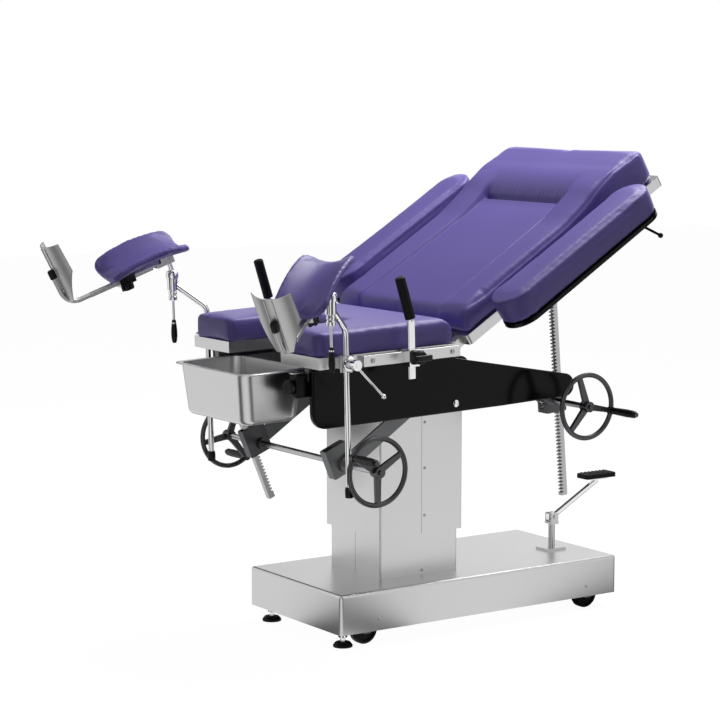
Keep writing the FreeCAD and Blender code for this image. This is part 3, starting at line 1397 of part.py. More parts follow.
save("side_panels", lean(side_panel(-1)), lean(side_panel(1)))
save("beam_frame", lean(beam_frame()))
save("tilt_rack", tilt_rack())
save("seat_frame", lean(seat_frame()))
save("seat_pad", lean(seat_pad()))
save("side_rails", *[lean(piece) for piece in (side_rail(-1), side_rail(1), leg_clamp(-1), leg_clamp(1))])
save_pair("clamp_handle", clamp_handle(), lean)
save_pair("leg_rod", leg_rod(), lean)
save_holder("knuckle", knuckle)
save_holder("knee_frame", knee_frame)
save_holder("knee_pad", knee_pad)
save_holder("star_knob", star_knob)
save_holder("boot", boot)
save_pair("grip_post", grip_post(), lean)
save_pair("hand_grip", hand_grip(), lean)
save_pair("grip_knob", grip_knob(), lean)
save("basin", lean(basin()))

save("back_frame", raised(back_frame()))
save("back_pad", raised(back_pad()))
save_pair("arm_board", arm_board(), raised)
save_pair("arm_pad", arm_pad(), raised)
save("back_rack", lean(back_rack()))
save("back_gearbox", lean(back_gearbox()))
save("back_shaft", lean(back_shaft()))
save("back_handwheel", lean(handwheel(back_shaft_x, back_shaft_z, back_wheel_y, -1, (107, 227, 347), 347)))
save("back_grip", lean(crank_grip(back_shaft_x, back_shaft_z, back_wheel_y, -1, 347)))
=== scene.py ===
# %% [markdown]
# # A gynaecological examination table
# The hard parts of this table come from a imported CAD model, which is loaded as a fixed frame.
# Blender adds what the eye notices first: the soft vinyl cushions, the brushed and polished
# metal, the small screws and caps, and the light. Everything is in metres, in the CAD's frame.

# %% Load the frame
import json
import math

import bmesh
import bpy
from mathutils import Matrix, Vector


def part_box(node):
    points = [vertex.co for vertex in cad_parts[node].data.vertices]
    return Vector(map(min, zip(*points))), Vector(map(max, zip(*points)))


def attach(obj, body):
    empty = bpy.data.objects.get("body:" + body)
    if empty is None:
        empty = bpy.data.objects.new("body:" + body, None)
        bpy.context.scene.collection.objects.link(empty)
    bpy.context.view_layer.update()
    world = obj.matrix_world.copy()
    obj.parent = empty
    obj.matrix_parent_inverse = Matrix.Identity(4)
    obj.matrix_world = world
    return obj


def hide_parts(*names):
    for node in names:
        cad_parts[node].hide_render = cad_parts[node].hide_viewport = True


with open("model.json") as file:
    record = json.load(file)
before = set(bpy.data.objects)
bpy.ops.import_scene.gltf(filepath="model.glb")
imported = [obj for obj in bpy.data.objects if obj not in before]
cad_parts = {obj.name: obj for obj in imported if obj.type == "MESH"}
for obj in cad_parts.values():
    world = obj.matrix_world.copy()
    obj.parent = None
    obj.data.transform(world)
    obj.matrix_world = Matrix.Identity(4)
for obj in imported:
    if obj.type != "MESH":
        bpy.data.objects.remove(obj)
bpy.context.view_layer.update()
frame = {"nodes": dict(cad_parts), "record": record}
nodes = frame["nodes"]

# %% [markdown]
# ## Places
# The CAD model was drawn from the middle of the base, with the top level, and then the top was
# leaned a little about its pivot and the back raised about its hinge. The same turns are written
# here once, so that a cushion can be shaped flat and then laid where it belongs.

# %% The turns that take a piece from its drawing position to its place
SIDES = (("near", -1), ("far", 1))
base_low, base_high = [Vector(corner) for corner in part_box("base_cover")]
BASE_MIDDLE = Vector(((base_low.x + base_high.x) / 2, (base_low.y + base_high.y) / 2, 0.0))
TOP_PIVOT = Vector((-0.113, 0.0, 0.607))
BACK_HINGE = Vector((-0.130, 0.0, 0.758))
REST_LEAN = math.radians(-1.5)
BACK_RAISED = math.radians(-30.0)


def turn_about(point, angle, axis="Y"):
    """A matrix that turns about an axis through a point."""
    return Matrix.Translation(point) @ Matrix.Rotation(angle, 4, axis) @ Matrix.Translation(-point)


IN_BASE = Matrix.Translation(BASE_MIDDLE)
IN_TOP = IN_BASE @ turn_about(TOP_PIVOT, REST_LEAN)
IN_BACK = IN_TOP @ turn_about(BACK_HINGE, BACK_RAISED) @ Matrix.Translation(BACK_HINGE)
KNUCKLE = Vector((-0.579, 0.379, 0.905))
KNEE_PIVOT = Vector((-0.010, 0.0, 0.066))
# Each leg holder's side, its turn about the upright rod and the slope of its knee rest.
HOLDERS = {"near": (-1, math.radians(34.4), math.radians(28.0)),
           "far": (1, math.radians(3.5), math.radians(18.4))}


def in_knuckle(side):
    """The place of a leg holder's knuckle; the far one is the near one's mirror image."""
    sign, yaw, _ = HOLDERS[side]
    place = Matrix.Translation((KNUCKLE.x, -KNUCKLE.y, KNUCKLE.z)) @ Matrix.Rotation(yaw, 4, "Z")
    flip = Matrix.Scale(-1, 4, (0, 1, 0)) if sign > 0 else Matrix.Identity(4)
    return IN_TOP @ flip @ place


def in_knee(side):
    """The place of the sloping part of a leg holder."""
    return in_knuckle(side) @ turn_about(KNEE_PIVOT, -HOLDERS[side][2])


print("top leans", round(math.degrees(REST_LEAN), 1), "back raised", round(math.degrees(BACK_RAISED), 1))

# %% [markdown]
# ## Camera, floor and light
# The photograph was taken from the foot end, a little above the seat, with a long lens on a white
# sweep. A long lens keeps the edges of the base nearly parallel. The white comes from what the
# camera and the reflections see of the surroundings, so the lamps can stay at a plain level.

# %% Camera at the photograph's viewing angle
LENS = 114.15
SENSOR = 36.0
CAMERA_FROM = Vector((-3.555, -4.879, 1.429))
CAMERA_AT = Vector((-0.245, 0.0, 0.703))

camera_data = bpy.data.cameras.new("camera")
camera_data.lens = LENS
camera_data.sensor_width = SENSOR
camera_data.clip_end = 50.0
camera = bpy.data.objects.new("camera", camera_data)
bpy.context.scene.collection.objects.link(camera)
camera_place = CAMERA_FROM + BASE_MIDDLE
camera_target = CAMERA_AT + BASE_MIDDLE
camera.location = camera_place
camera.rotation_euler = (camera_target - camera_place).to_track_quat("-Z", "Y").to_euler()
bpy.context.scene.camera = camera
bpy.context.scene.view_settings.view_transform = "Standard"
print("camera", [round(v, 3) for v in camera.location])


# %% Node helpers
def new_material(name):
    """A new material, its node tree and the one shader that its output is joined to."""
    material = bpy.data.materials.new(name)
    material.use_nodes = True
    tree = material.node_tree
    tree.nodes.clear()
    output = tree.nodes.new("ShaderNodeOutputMaterial")
    shader = tree.nodes.new("ShaderNodeBsdfPrincipled")
    tree.links.new(shader.outputs["BSDF"], output.inputs["Surface"])
    return material, tree, shader


def fill_inputs(tree, node, **inputs):
    """Fills inputs with values or links. An input goes by its name, or by its number as i0, i1 and so on."""
    for key, value in inputs.items():
        numbered = key[0] == "i" and key[1:].isdigit()
        socket = node.inputs[int(key[1:]) if numbered else key.replace("_", " ")]
        if isinstance(value, bpy.types.NodeSocket):
            tree.links.new(value, socket)
        else:
            socket.default_value = value


def add_node(tree, kind, settings=None, **inputs):
    """Adds a node, sets its settings and fills its inputs."""
    node = tree.nodes.new("ShaderNode" + kind)
    for key, value in (settings or {}).items():
        setattr(node, key, value)
    fill_inputs(tree, node, **inputs)
    return node


def maths(tree, operation, *values):
    """The result of a Math node."""
    inputs = {"i%d" % number: value for number, value in enumerate(values)}
    return add_node(tree, "Math", {"operation": operation}, **inputs).outputs[0]


# %% What the camera and the reflections see
WHITE = (1.0, 1.0, 1.0, 1.0)
PANELS_AROUND = 4.0
PANELS_TURNED = math.radians(-54)
GAP_LIGHT = 0.06


def seen_directly(tree):
    """1 where the camera or a reflection looks, 0 where light is gathered."""
    path = add_node(tree, "LightPath")
    both = maths(tree, "MAXIMUM", path.outputs["Is Camera Ray"], path.outputs["Is Glossy Ray"])
    return maths(tree, "MAXIMUM", both, path.outputs["Is Transmission Ray"])


def bright_panels(tree, direction):
    """Bright panels with dark gaps between them, for reflections alone. The camera sees plain white."""
    parts = add_node(tree, "SeparateXYZ", None, Vector=direction)
    turn = maths(tree, "ARCTAN2", parts.outputs["Y"], parts.outputs["X"])
    wave = maths(tree, "SINE", maths(tree, "MULTIPLY_ADD", turn, PANELS_AROUND, PANELS_TURNED))
    panels = add_node(tree, "MapRange", None, Value=wave, From_Min=-0.75, From_Max=0.0,
                      To_Min=GAP_LIGHT, To_Max=1.0)
    camera_ray = add_node(tree, "LightPath").outputs["Is Camera Ray"]
    return maths(tree, "MAXIMUM", panels.outputs[0], camera_ray)


# %% Surroundings and floor
ROOM_LIGHT = 0.085
FLOOR_SIZE = 24
FLOOR_GREY = (0.66, 0.66, 0.66, 1.0)
FLOOR_GLOW = 1.215
FLOOR_GLOW_SHARE = 0.80


def make_surroundings():
    """A room that looks white, though it gives only a little light of its own."""
    world = bpy.data.worlds.new("white_room")
    world.use_nodes = True
    tree = world.node_tree
    tree.nodes.clear()
    output = tree.nodes.new("ShaderNodeOutputWorld")
    incoming = add_node(tree, "NewGeometry").outputs["Incoming"]
    outward = add_node(tree, "VectorMath", {"operation": "SCALE"}, i0=incoming, Scale=-1.0)
    shown = bright_panels(tree, outward.outputs[0])
    strength = maths(tree, "MAXIMUM", maths(tree, "MULTIPLY", seen_directly(tree), shown), ROOM_LIGHT)
    background = add_node(tree, "Background", None, Color=WHITE, Strength=strength)
    tree.links.new(background.outputs[0], output.inputs["Surface"])
    bpy.context.scene.world = world


def make_floor():
    """A matte floor that takes shadows, with a white glow that the camera and the reflections see."""
    bpy.ops.mesh.primitive_plane_add(size=FLOOR_SIZE, location=(0, 0, 0))
    floor = bpy.context.object
    floor.name = "floor"
    material = bpy.data.materials.new("pale_floor")
    material.use_nodes = True
    tree = material.node_tree
    tree.nodes.clear()
    output = tree.nodes.new("ShaderNodeOutputMaterial")
    matte = add_node(tree, "BsdfDiffuse", None, Color=FLOOR_GREY)
    position = add_node(tree, "NewGeometry").outputs["Position"]
    power = maths(tree, "MULTIPLY", bright_panels(tree, position), FLOOR_GLOW)
    glow = add_node(tree, "Emission", None, Color=WHITE, Strength=power)
    share = maths(tree, "MULTIPLY", seen_directly(tree), FLOOR_GLOW_SHARE)
    mix = add_node(tree, "MixShader", None, Fac=share, i1=matte.outputs[0], i2=glow.outputs[0])
    tree.links.new(mix.outputs[0], output.inputs["Surface"])
    floor.data.materials.append(material)


make_surroundings()
make_floor()
print("floor", FLOOR_SIZE, "m wide, room light", ROOM_LIGHT)


# %% Lamps and dark cards
def add_lamp(name, place, target, size, power):
    """A square soft lamp that faces a point."""
    lamp = bpy.data.lights.new(name, "AREA")
    lamp.shape = "SQUARE"
    lamp.size = size
    lamp.energy = power
    holder = bpy.data.objects.new(name, lamp)
    bpy.context.scene.collection.objects.link(holder)
    holder.location = place
    holder.rotation_euler = (Vector(target) - Vector(place)).to_track_quat("-Z", "Y").to_euler()


def add_dark_card(name, place, size, turn):
    """A black card beside the camera, which only reflections show. It draws dark edges on polished metal."""
    bpy.ops.object.select_all(action="DESELECT")
    bpy.ops.mesh.primitive_plane_add(size=1, location=place, rotation=turn)
    card = bpy.context.object
    card.name = name
    card.scale = (size[0], size[1], 1)
    material = bpy.data.materials.new(name)
    material.use_nodes = True
    shader = material.node_tree.nodes["Principled BSDF"]
    shader.inputs["Base Color"].default_value = (0.01, 0.01, 0.01, 1)
    shader.inputs["Roughness"].default_value = 0.9
    card.data.materials.append(material)
    card.visible_camera = False
    card.visible_diffuse = False
    card.visible_shadow = False


add_lamp("overhead", (1.25, 0.2, 3.1), (0.1, 0.0, 0.8), 1.8, 76)
add_lamp("foot_side", (-3.4, -1.6, 2.4), (-0.2, 0.0, 0.6), 1.6, 3)
add_dark_card("dark_card_left", (-4.6, -2.0, 1.2), (0.9, 2.6), (math.radians(90), 0, math.radians(-66)))
add_dark_card("dark_card_right", (0.9, -4.6, 1.2), (0.8, 2.6), (math.radians(90), 0, math.radians(-10)))

# %% [markdown]
# ## Metals
# Stainless sheet is brushed in one direction, so its reflections are drawn out across the lines
# of the brush. Fine noise stretched along X gives those lines, in the roughness and in a very
# shallow bump. Polished tube has no lines, only faint waviness. Castings are duller and grainy.


# %% Brushed stainless sheet
def two_tints(tree, drift, dark, light):
    """A colour that drifts between a darker and a lighter tint."""
    return add_node(tree, "MixRGB", None, Fac=drift, Color1=dark + (1.0,), Color2=light + (1.0,)).outputs[0]


def scaled(colour, share):
    """A colour made darker or lighter."""
    return tuple(min(1.0, share * part) for part in colour)


def brushed_metal(name, colour, roughness, along=(1.2, 520.0, 520.0), depth=0.012):
    """Sheet with fine lines along X, in its roughness and in a very shallow bump."""
    material, tree, shader = new_material(name)
    place = add_node(tree, "TexCoord").outputs["Object"]
    stretch = add_node(tree, "Mapping", None, Vector=place, Scale=along)
    lines = add_node(tree, "TexNoise", None, Vector=stretch.outputs[0], Scale=1.0, Detail=5.0, Roughness=0.7)
    clouds = add_node(tree, "TexNoise", None, Vector=place, Scale=3.2, Detail=3.0)
    rough = add_node(tree, "MapRange", None, Value=lines.outputs["Fac"], From_Min=0.3, From_Max=0.7,
                     To_Min=roughness - 0.02, To_Max=roughness + 0.03)
    smear = add_node(tree, "MapRange", None, Value=clouds.outputs["Fac"], To_Min=-0.04, To_Max=0.05)
    total = maths(tree, "ADD", rough.outputs[0], smear.outputs[0])
    tint = two_tints(tree, clouds.outputs["Fac"], scaled(colour, 0.93), scaled(colour, 1.04))
    bump = add_node(tree, "Bump", None, Height=lines.outputs["Fac"], Strength=depth, Distance=0.0006)
    fill_inputs(tree, shader, Base_Color=tint, Roughness=total, Normal=bump.outputs[0], Metallic=1.0)
    return material


# %% Polished tube, castings and machined steel
def worn_metal(name, colour, roughness, grain, depth, metallic=1.0, scuff=0.06):
    """Metal with no brush lines: its gloss and its tint drift a little over a fine grain."""
    material, tree, shader = new_material(name)
    place = add_node(tree, "TexCoord").outputs["Object"]
    fine = add_node(tree, "TexNoise", None, Vector=place, Scale=grain, Detail=4.0)
    wide = add_node(tree, "TexNoise", None, Vector=place, Scale=14.0, Detail=5.0)
    rough = add_node(tree, "MapRange", None, Value=wide.outputs["Fac"], From_Min=0.35, From_Max=0.7,
                     To_Min=max(0.02, roughness - scuff), To_Max=roughness + scuff)
    tint = two_tints(tree, wide.outputs["Fac"], scaled(colour, 0.9), scaled(colour, 1.06))
    bump = add_node(tree, "Bump", None, Height=fine.outputs["Fac"], Strength=depth, Distance=0.0008)
    fill_inputs(tree, shader, Base_Color=tint, Roughness=rough.outputs[0], Normal=bump.outputs[0],
                Metallic=metallic)
    return material


# %% Vinyl, rubber and plastics
def grained_skin(name, dark, light, roughness, grain, depth, coat=0.0, specular=0.5):
    """A soft or moulded surface: colour drifts a little, and a fine cell pattern is the grain."""
    material, tree, shader = new_material(name)
    place = add_node(tree, "TexCoord").outputs["Object"]
    drift = add_node(tree, "TexNoise", None, Vector=place, Scale=4.5, Detail=3.0)
    cells = add_node(tree, "TexVoronoi", {"feature": "SMOOTH_F1"}, Vector=place, Scale=grain)
    pores = add_node(tree, "TexNoise", None, Vector=place, Scale=grain * 0.7, Detail=3.0)
    grain_mix = maths(tree, "ADD", cells.outputs["Distance"], pores.outputs["Fac"])
    tint = two_tints(tree, drift.outputs["Fac"], dark, light)
    rough = add_node(tree, "MapRange", None, Value=drift.outputs["Fac"],
                     To_Min=roughness - 0.05, To_Max=roughness + 0.06)
    bump = add_node(tree, "Bump", None, Height=grain_mix, Strength=depth, Distance=0.0004)
    fill_inputs(tree, shader, Base_Color=tint, Roughness=rough.outputs[0], Normal=bump.outputs[0],
                Coat_Weight=coat, Coat_Roughness=0.28, Specular_IOR_Level=specular)
    return material


# %% The table's finishes
BLACK = (0.0035, 0.0035, 0.004)

FINISHES = {
    "brushed_steel": brushed_metal("stainless_sheet", (0.60, 0.60, 0.60), 0.30),
    "frame_steel": worn_metal("grey_frame_paint", (0.22, 0.225, 0.23), 0.40, 160.0, 0.12, metallic=0.35),
    "chrome": worn_metal("polished_tube", (0.78, 0.78, 0.79), 0.07, 90.0, 0.02, scuff=0.03),
    "bright_steel": worn_metal("machined_steel", (0.44, 0.44, 0.45), 0.27, 300.0, 0.08),
    "cast_metal": worn_metal("grey_casting", (0.085, 0.085, 0.09), 0.34, 420.0, 0.25, metallic=0.75),
    "black_panel": grained_skin("gloss_black_panel", BLACK, (0.006, 0.006, 0.0065), 0.16, 60.0, 0.01,
                                specular=0.12),
    "black_plastic": grained_skin("matte_black_plastic", BLACK, (0.007, 0.007, 0.0075), 0.34, 900.0, 0.12,
                                  specular=0.22),
    "rubber": grained_skin("black_rubber", BLACK, (0.008, 0.008, 0.0085), 0.5, 700.0, 0.2, specular=0.16),
    "vinyl": grained_skin("purple_vinyl", (0.168, 0.132, 0.440), (0.194, 0.152, 0.490), 0.38, 620.0, 0.16,
                          coat=0.04, specular=0.30),
}
satin_plate = brushed_metal("satin_plate", (0.50, 0.50, 0.50), 0.44)

# %% Every CAD node gets the finish that its record names, and a few get a closer one
node_slots = {part["node"]: part["material_slot"] for part in frame["record"]["subparts"]}
for node_name, node_object in nodes.items():
    node_object.data.materials.clear()
    node_object.data.materials.append(FINISHES[node_slots[node_name]])
nodes["back_frame"].data.materials[0] = FINISHES["brushed_steel"]
for board in ("arm_board_near", "arm_board_far"):
    nodes[board].data.materials[0] = FINISHES["black_panel"]
for plate in ("boot_near", "boot_far"):
    nodes[plate].data.materials[0] = satin_plate
print("finishes", len(FINISHES) + 1)

# %% [markdown]
# ## Cushions
# Each cushion is foam on a board, wrapped in vinyl that is pulled tight and stapled underneath.
# The wrap rounds every edge, crowns the top a little and puckers at the corners. Each one starts
# as its plain CAD solid, is remeshed evenly, and is blown up slightly as cloth. How far a point
# may move is capped, so the cushion keeps its size. The seams are pressed in afterwards.


# %% Tools for soft pieces
def deselect_all():
    bpy.ops.object.select_all(action="DESELECT")


def make_active(piece):
    """Selects one piece alone."""
    deselect_all()
    piece.select_set(True)
    bpy.context.view_layer.objects.active = piece


def apply_modifier(piece, kind, **settings):
    """Adds a modifier, sets it and applies it at once."""
    make_active(piece)
    modifier = piece.modifiers.new(kind.lower(), kind)
    for key, value in settings.items():
        setattr(modifier, key, value)
    bpy.ops.object.modifier_apply(modifier=modifier.name)


def copy_of_node(node, name):
    """A merged copy of a CAD node's mesh as a new piece."""
    piece = bpy.data.objects.new(name, nodes[node].data.copy())
    bpy.context.scene.collection.objects.link(piece)
    make_active(piece)
    bpy.ops.object.mode_set(mode="EDIT")
    bpy.ops.mesh.select_all(action="SELECT")
    bpy.ops.mesh.remove_doubles(threshold=0.00002)
    bpy.ops.mesh.normals_make_consistent(inside=False)
    bpy.ops.object.mode_set(mode="OBJECT")
    piece.data.materials.clear()
    return piece


def inflate(piece, pressure, cap, frames=18):
    """Blows a closed mesh up as cloth, and lets no point move further than the cap."""
    before = [v.co.copy() for v in piece.data.vertices]
    make_active(piece)
    cloth = piece.modifiers.new("cloth", "CLOTH")
    cloth.settings.use_pressure = True
    cloth.settings.uniform_pressure_force = pressure
    cloth.settings.tension_stiffness = 18
    cloth.settings.compression_stiffness = 18
    cloth.settings.shear_stiffness = 8
    cloth.settings.bending_stiffness = 2.0
    cloth.settings.effector_weights.gravity = 0.0
    cloth.settings.quality = 4
    cloth.collision_settings.use_collision = False
    cloth.point_cache.frame_start = 1
    cloth.point_cache.frame_end = frames
    for step in range(1, frames + 1):
        bpy.context.scene.frame_set(step)
    bpy.ops.object.modifier_apply(modifier=cloth.name)
    bpy.context.scene.frame_set(1)
    furthest = 0.0
    for vertex, start in zip(piece.data.vertices, before):
        move = vertex.co - start
        if move.length > cap:
            vertex.co = start + move.normalized() * cap
        furthest = max(furthest, min(move.length, cap))
    return furthest


def relax(piece, factor, rounds):
    """Evens a mesh out."""
    apply_modifier(piece, "SMOOTH", factor=factor, iterations=rounds)


def shape_points(piece, place, rule):
    """Moves every point by a rule that is written in the piece's own drawing position."""
    back = place.inverted()
    for vertex in piece.data.vertices:
        vertex.co = place @ rule(back @ vertex.co)


def smooth_step(low, high, value):
    """From 0 at the low end to 1 at the high end, level at both; the ends may stand either way round."""
    if high == low:
        return 0.0
    t = min(1.0, max(0.0, (value - low) / (high - low)))
    return t * t * (3.0 - 2.0 * t)


def groove(distance, width):
    """How deep a pressed line is at a distance from its middle, from 1 to 0."""
    return math.exp(-((distance / width) ** 2))


def finish_soft(piece, node, body):
    """Gives a cushion its vinyl and its body, and hides its CAD node."""
    make_active(piece)
    bpy.ops.object.shade_smooth()
    piece.data.materials.append(FINISHES["vinyl"])
    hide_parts(node)
    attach(piece, body)
    print(piece.name, "points", len(piece.data.vertices))


def stuff(piece, inset, voxel, evening, pressure, cap, settling):
    """Sets a surface in a little, remeshes it evenly and blows it up as a stuffed cover."""
    apply_modifier(piece, "DISPLACE", strength=-inset, mid_level=0.0)
    apply_modifier(piece, "REMESH", mode="VOXEL", voxel_size=voxel)
    relax(piece, 0.5, evening)
    inflate(piece, pressure, cap)
    relax(piece, 0.5, settling)


def refine(piece):
    """Splits every face once and rounds the surface."""
    apply_modifier(piece, "SUBSURF", levels=1, render_levels=1)


# %% [markdown]
# ### Seat cushion
# The seat cushion follows the seat frame, with a cut in its front edge over the basin. Its rear
# edge is rounded well down towards the back section, and its vinyl is slightly gathered at the
# other edges.

# %% Seat cushion
SEAT_BOTTOM = 0.7713
SEAT_TOP = 0.833
SEAT_REAR = -0.145
SEAT_FRONT = -0.568
SEAT_SIDE = 0.305


def seat_rule(p):
    """Rounds the rear edge down, gathers the vinyl a little at the edges and flattens the underside."""
    q = p.copy()
    height = (p.z - SEAT_BOTTOM) / (SEAT_TOP - SEAT_BOTTOM)
    if height > 0.5:
        reach = smooth_step(0.045, 0.0, SEAT_REAR - p.x)
        q.z -= reach * 0.010 * height
    edge = min(abs(abs(p.y) - SEAT_SIDE), abs(p.x - SEAT_FRONT))
    pucker = math.sin(p.y * 190.0) * math.sin(p.x * 170.0 + 1.0) * 0.0006 * smooth_step(0.07, 0.0, edge)
    q.z += pucker
    if q.z < SEAT_BOTTOM + 0.004:
        q.z = SEAT_BOTTOM + 0.0004 * (q.z - SEAT_BOTTOM)
    return q


def make_seat_cushion():
    piece = copy_of_node("seat_pad", "seat_cushion")
    stuff(piece, 0.0025, 0.006, 6, 3.0, 0.006, 3)
    shape_points(piece, IN_TOP, seat_rule)
    refine(piece)
    finish_soft(piece, "seat_pad", "top")


make_seat_cushion()

# %% [markdown]
# ### Back cushion
# The back cushion has a flat middle panel between two sewn lines, and it rises at the head end
# into a pillow. The rise is steep along a crease in the middle and gentle along the borders.

# %% Back cushion
PANEL_TOP_CREASE = 0.547
BACK_SEAM, BACK_WELT = 0.2785, 0.2845


def pillow_height(u):
    """How high the CAD cushion stands above its flat part at a distance from the hinge."""
    return 0.004 * smooth_step(0.480, 0.575, u) + 0.022 * smooth_step(0.560, 0.685, u)


def sewn_height(u, y):
    """How high the sewn cushion stands there: a steep pillow in the middle, gentle along the borders."""
    above = smooth_step(0.560, 0.650, u)
    t = min(1.0, max(0.0, (u - 0.546) / 0.115))
    middle = 0.035 * (1.0 - (1.0 - t) ** 2.6) - 0.004
    border = 0.031 * smooth_step(0.425, 0.660, u)
    border += 0.0045 * (1.0 - above) * math.sin(math.pi * min(1.0, max(0.0, (abs(y) - 0.172) / 0.108)))
    return middle + (border - middle) * smooth_step(0.168, 0.186, abs(y) + 0.006 * smooth_step(0.1, 0.5, u))


def back_rule(p):
    """Raises the sewn pillow and presses the lines in; u runs from the hinge and v up from the board."""
    q = p.copy()
    u, y, v = p.x, p.y, p.z
    top = smooth_step(0.030, 0.062, v)
    if top > 0:
        q.z += (sewn_height(u, y) - pillow_height(u)) * top
        inner = 0.181 - 0.012 * smooth_step(0.05, 0.55, u)
        line = groove(abs(y) - inner, 0.0042) * smooth_step(0.040, 0.075, u) * smooth_step(0.575, 0.545, u)
        crease = groove(u - PANEL_TOP_CREASE, 0.005) * smooth_step(inner + 0.004, inner - 0.004, abs(y))
        edge = groove(abs(y) - BACK_SEAM, 0.0032) * smooth_step(0.06, 0.10, u)
        welt = groove(abs(y) - BACK_WELT, 0.0032) * smooth_step(0.06, 0.10, u)
        q.z += (-0.0075 * line - 0.0065 * crease - 0.0030 * edge + 0.0012 * welt) * top
        wrinkles = math.sin(y * 260 + 3.0 * math.sin(y * 90))
        q.z += 0.0007 * wrinkles * groove(u - 0.562, 0.012) * smooth_step(0.175, 0.16, abs(y)) * top
    return q


def make_back_cushion():
    piece = copy_of_node("back_pad", "back_cushion")
    stuff(piece, 0.002, 0.0065, 6, 3.0, 0.006, 3)
    refine(piece)
    shape_points(piece, IN_BACK, back_rule)
    finish_soft(piece, "back_pad", "back")


make_back_cushion()

# %% [markdown]
# ### Arm cushions
# The two arm cushions are mirror images: long, with half-round ends and a softly rounded top edge.

# %% Arm cushions
ARM_START, ARM_END, ARM_HALF = 0.092, 0.645, 0.064
ARM_BOTTOM, ARM_TOP = 0.0104, 0.084
ARM_MIDDLE = 0.383
ARM_EDGE = 0.020


def arm_rule(sign):
    """Makes the top edge crisper, as a sewn edge is, and crowns the top a little."""
    middle = sign * ARM_MIDDLE

    def rule(p):
        q = p.copy()
        spine = min(ARM_END - ARM_HALF, max(ARM_START + ARM_HALF, p.x))
        out = Vector((p.x - spine, p.y - middle))
        distance = out.length
        a = max(0.0, distance - (ARM_HALF - ARM_EDGE))
        b = max(0.0, p.z - (ARM_TOP - ARM_EDGE))
        if a > 0 and b > 0:
            reach = math.hypot(a, b)
            c, d = a / reach, b / reach
            grow = 1.0 / (c ** 4.5 + d ** 4.5) ** (1 / 4.5)
            q.z += b * (grow - 1.0)
            out_share = 1.0 + a * (grow - 1.0) / distance
            q.x = spine + out.x * out_share
            q.y = middle + out.y * out_share
        low = smooth_step(ARM_TOP - 0.012, ARM_BOTTOM, p.z)
        narrow = 1.0 - 0.055 * low
        q.x = spine + (q.x - spine) * narrow
        q.y = middle + (q.y - middle) * narrow
        if p.z > ARM_TOP - 0.006:
            q.z += 0.003 * smooth_step(ARM_HALF, 0.0, distance) - 0.0016 * groove(distance - 0.0555, 0.0026)
        return q
    return rule


def make_arm_cushion(side, sign):
    piece = copy_of_node("arm_pad_" + side, "arm_cushion_" + side)
    stuff(piece, 0.002, 0.006, 4, 3.0, 0.004, 2)
    refine(piece)
    shape_points(piece, IN_BACK, arm_rule(sign))
    finish_soft(piece, "arm_pad_" + side, "arm_" + side)


for side_name, sign in SIDES:
    make_arm_cushion(side_name, sign)

# %% [markdown]
# ### Knee cushions
# A knee cushion is a padded trough that droops a little at both ends, like a saddle.

# %% Knee cushions
def make_knee_cushion(side):
    piece = copy_of_node("knee_pad_" + side, "knee_cushion_" + side)
    stuff(piece, 0.001, 0.0045, 5, 2.5, 0.004, 3)
    refine(piece)
    finish_soft(piece, "knee_pad_" + side, "knee_" + side)


for side_name, sign in SIDES:
    make_knee_cushion(side_name)

# %% [markdown]
# ## Turned and folded hardware
# Caps, knobs, handles and screw heads are turned parts: a circle that is extruded along its axis
# and made wider or narrower at each step gives them, as on a lathe. Brackets and covers start as
# a block whose edges are bevelled. Each piece is modelled at the origin along Z, and then it is
# laid in its place and fixed there, so that its object stays at the origin.


# %% Lathe and block tools
def start_piece(name):
    """Names the object that was just added."""
    piece = bpy.context.object
    piece.name = name
    piece.data.name = name
    return piece


def settle(piece, place, finish, body, angle=35.0):
    """Fixes a piece in its place, and gives it a finish and a body."""
    make_active(piece)
    piece.matrix_world = place
    bpy.ops.object.transform_apply(location=True, rotation=True, scale=True)
    bpy.ops.object.mode_set(mode="EDIT")
    bpy.ops.mesh.select_all(action="SELECT")
    bpy.ops.mesh.normals_make_consistent(inside=False)
    bpy.ops.object.mode_set(mode="OBJECT")
    bpy.ops.object.shade_smooth_by_angle(angle=math.radians(angle))
    piece.data.materials.clear()
    piece.data.materials.append(FINISHES[finish])
    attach(piece, body)
    return piece


def turn_on_lathe(name, profile, segments=28):
    """A closed turned piece along Z from a list of (radius, height) steps in millimetres."""
    deselect_all()
    radius, height = profile[0]
    bpy.ops.mesh.primitive_circle_add(vertices=segments, radius=radius / 1000, fill_type="NGON",
                                      location=(0, 0, height / 1000))
    piece = start_piece(name)
    bpy.ops.object.transform_apply(location=True, rotation=False, scale=False)
    bpy.ops.object.mode_set(mode="EDIT")
    bpy.ops.mesh.select_all(action="SELECT")
    for next_radius, next_height in profile[1:]:
        bpy.ops.mesh.extrude_region_move(
            TRANSFORM_OT_translate={"value": (0, 0, (next_height - height) / 1000)})
        share = next_radius / radius
        bpy.ops.transform.resize(value=(share, share, 1))
        radius, height = next_radius, next_height
    bpy.ops.object.mode_set(mode="OBJECT")
    return piece


def block_piece(name, size, bevel, segments=3):
    """A block of a size in millimetres about the origin, with bevelled edges."""
    deselect_all()
    bpy.ops.mesh.primitive_cube_add(size=1)
    piece = start_piece(name)
    piece.scale = [length / 1000 for length in size]
    bpy.ops.object.transform_apply(location=False, rotation=False, scale=True)
    bpy.ops.object.mode_set(mode="EDIT")
    bpy.ops.mesh.select_all(action="SELECT")
    bpy.ops.mesh.bevel(offset=bevel / 1000, segments=segments, affect="EDGES")
    bpy.ops.object.mode_set(mode="OBJECT")
    return piece


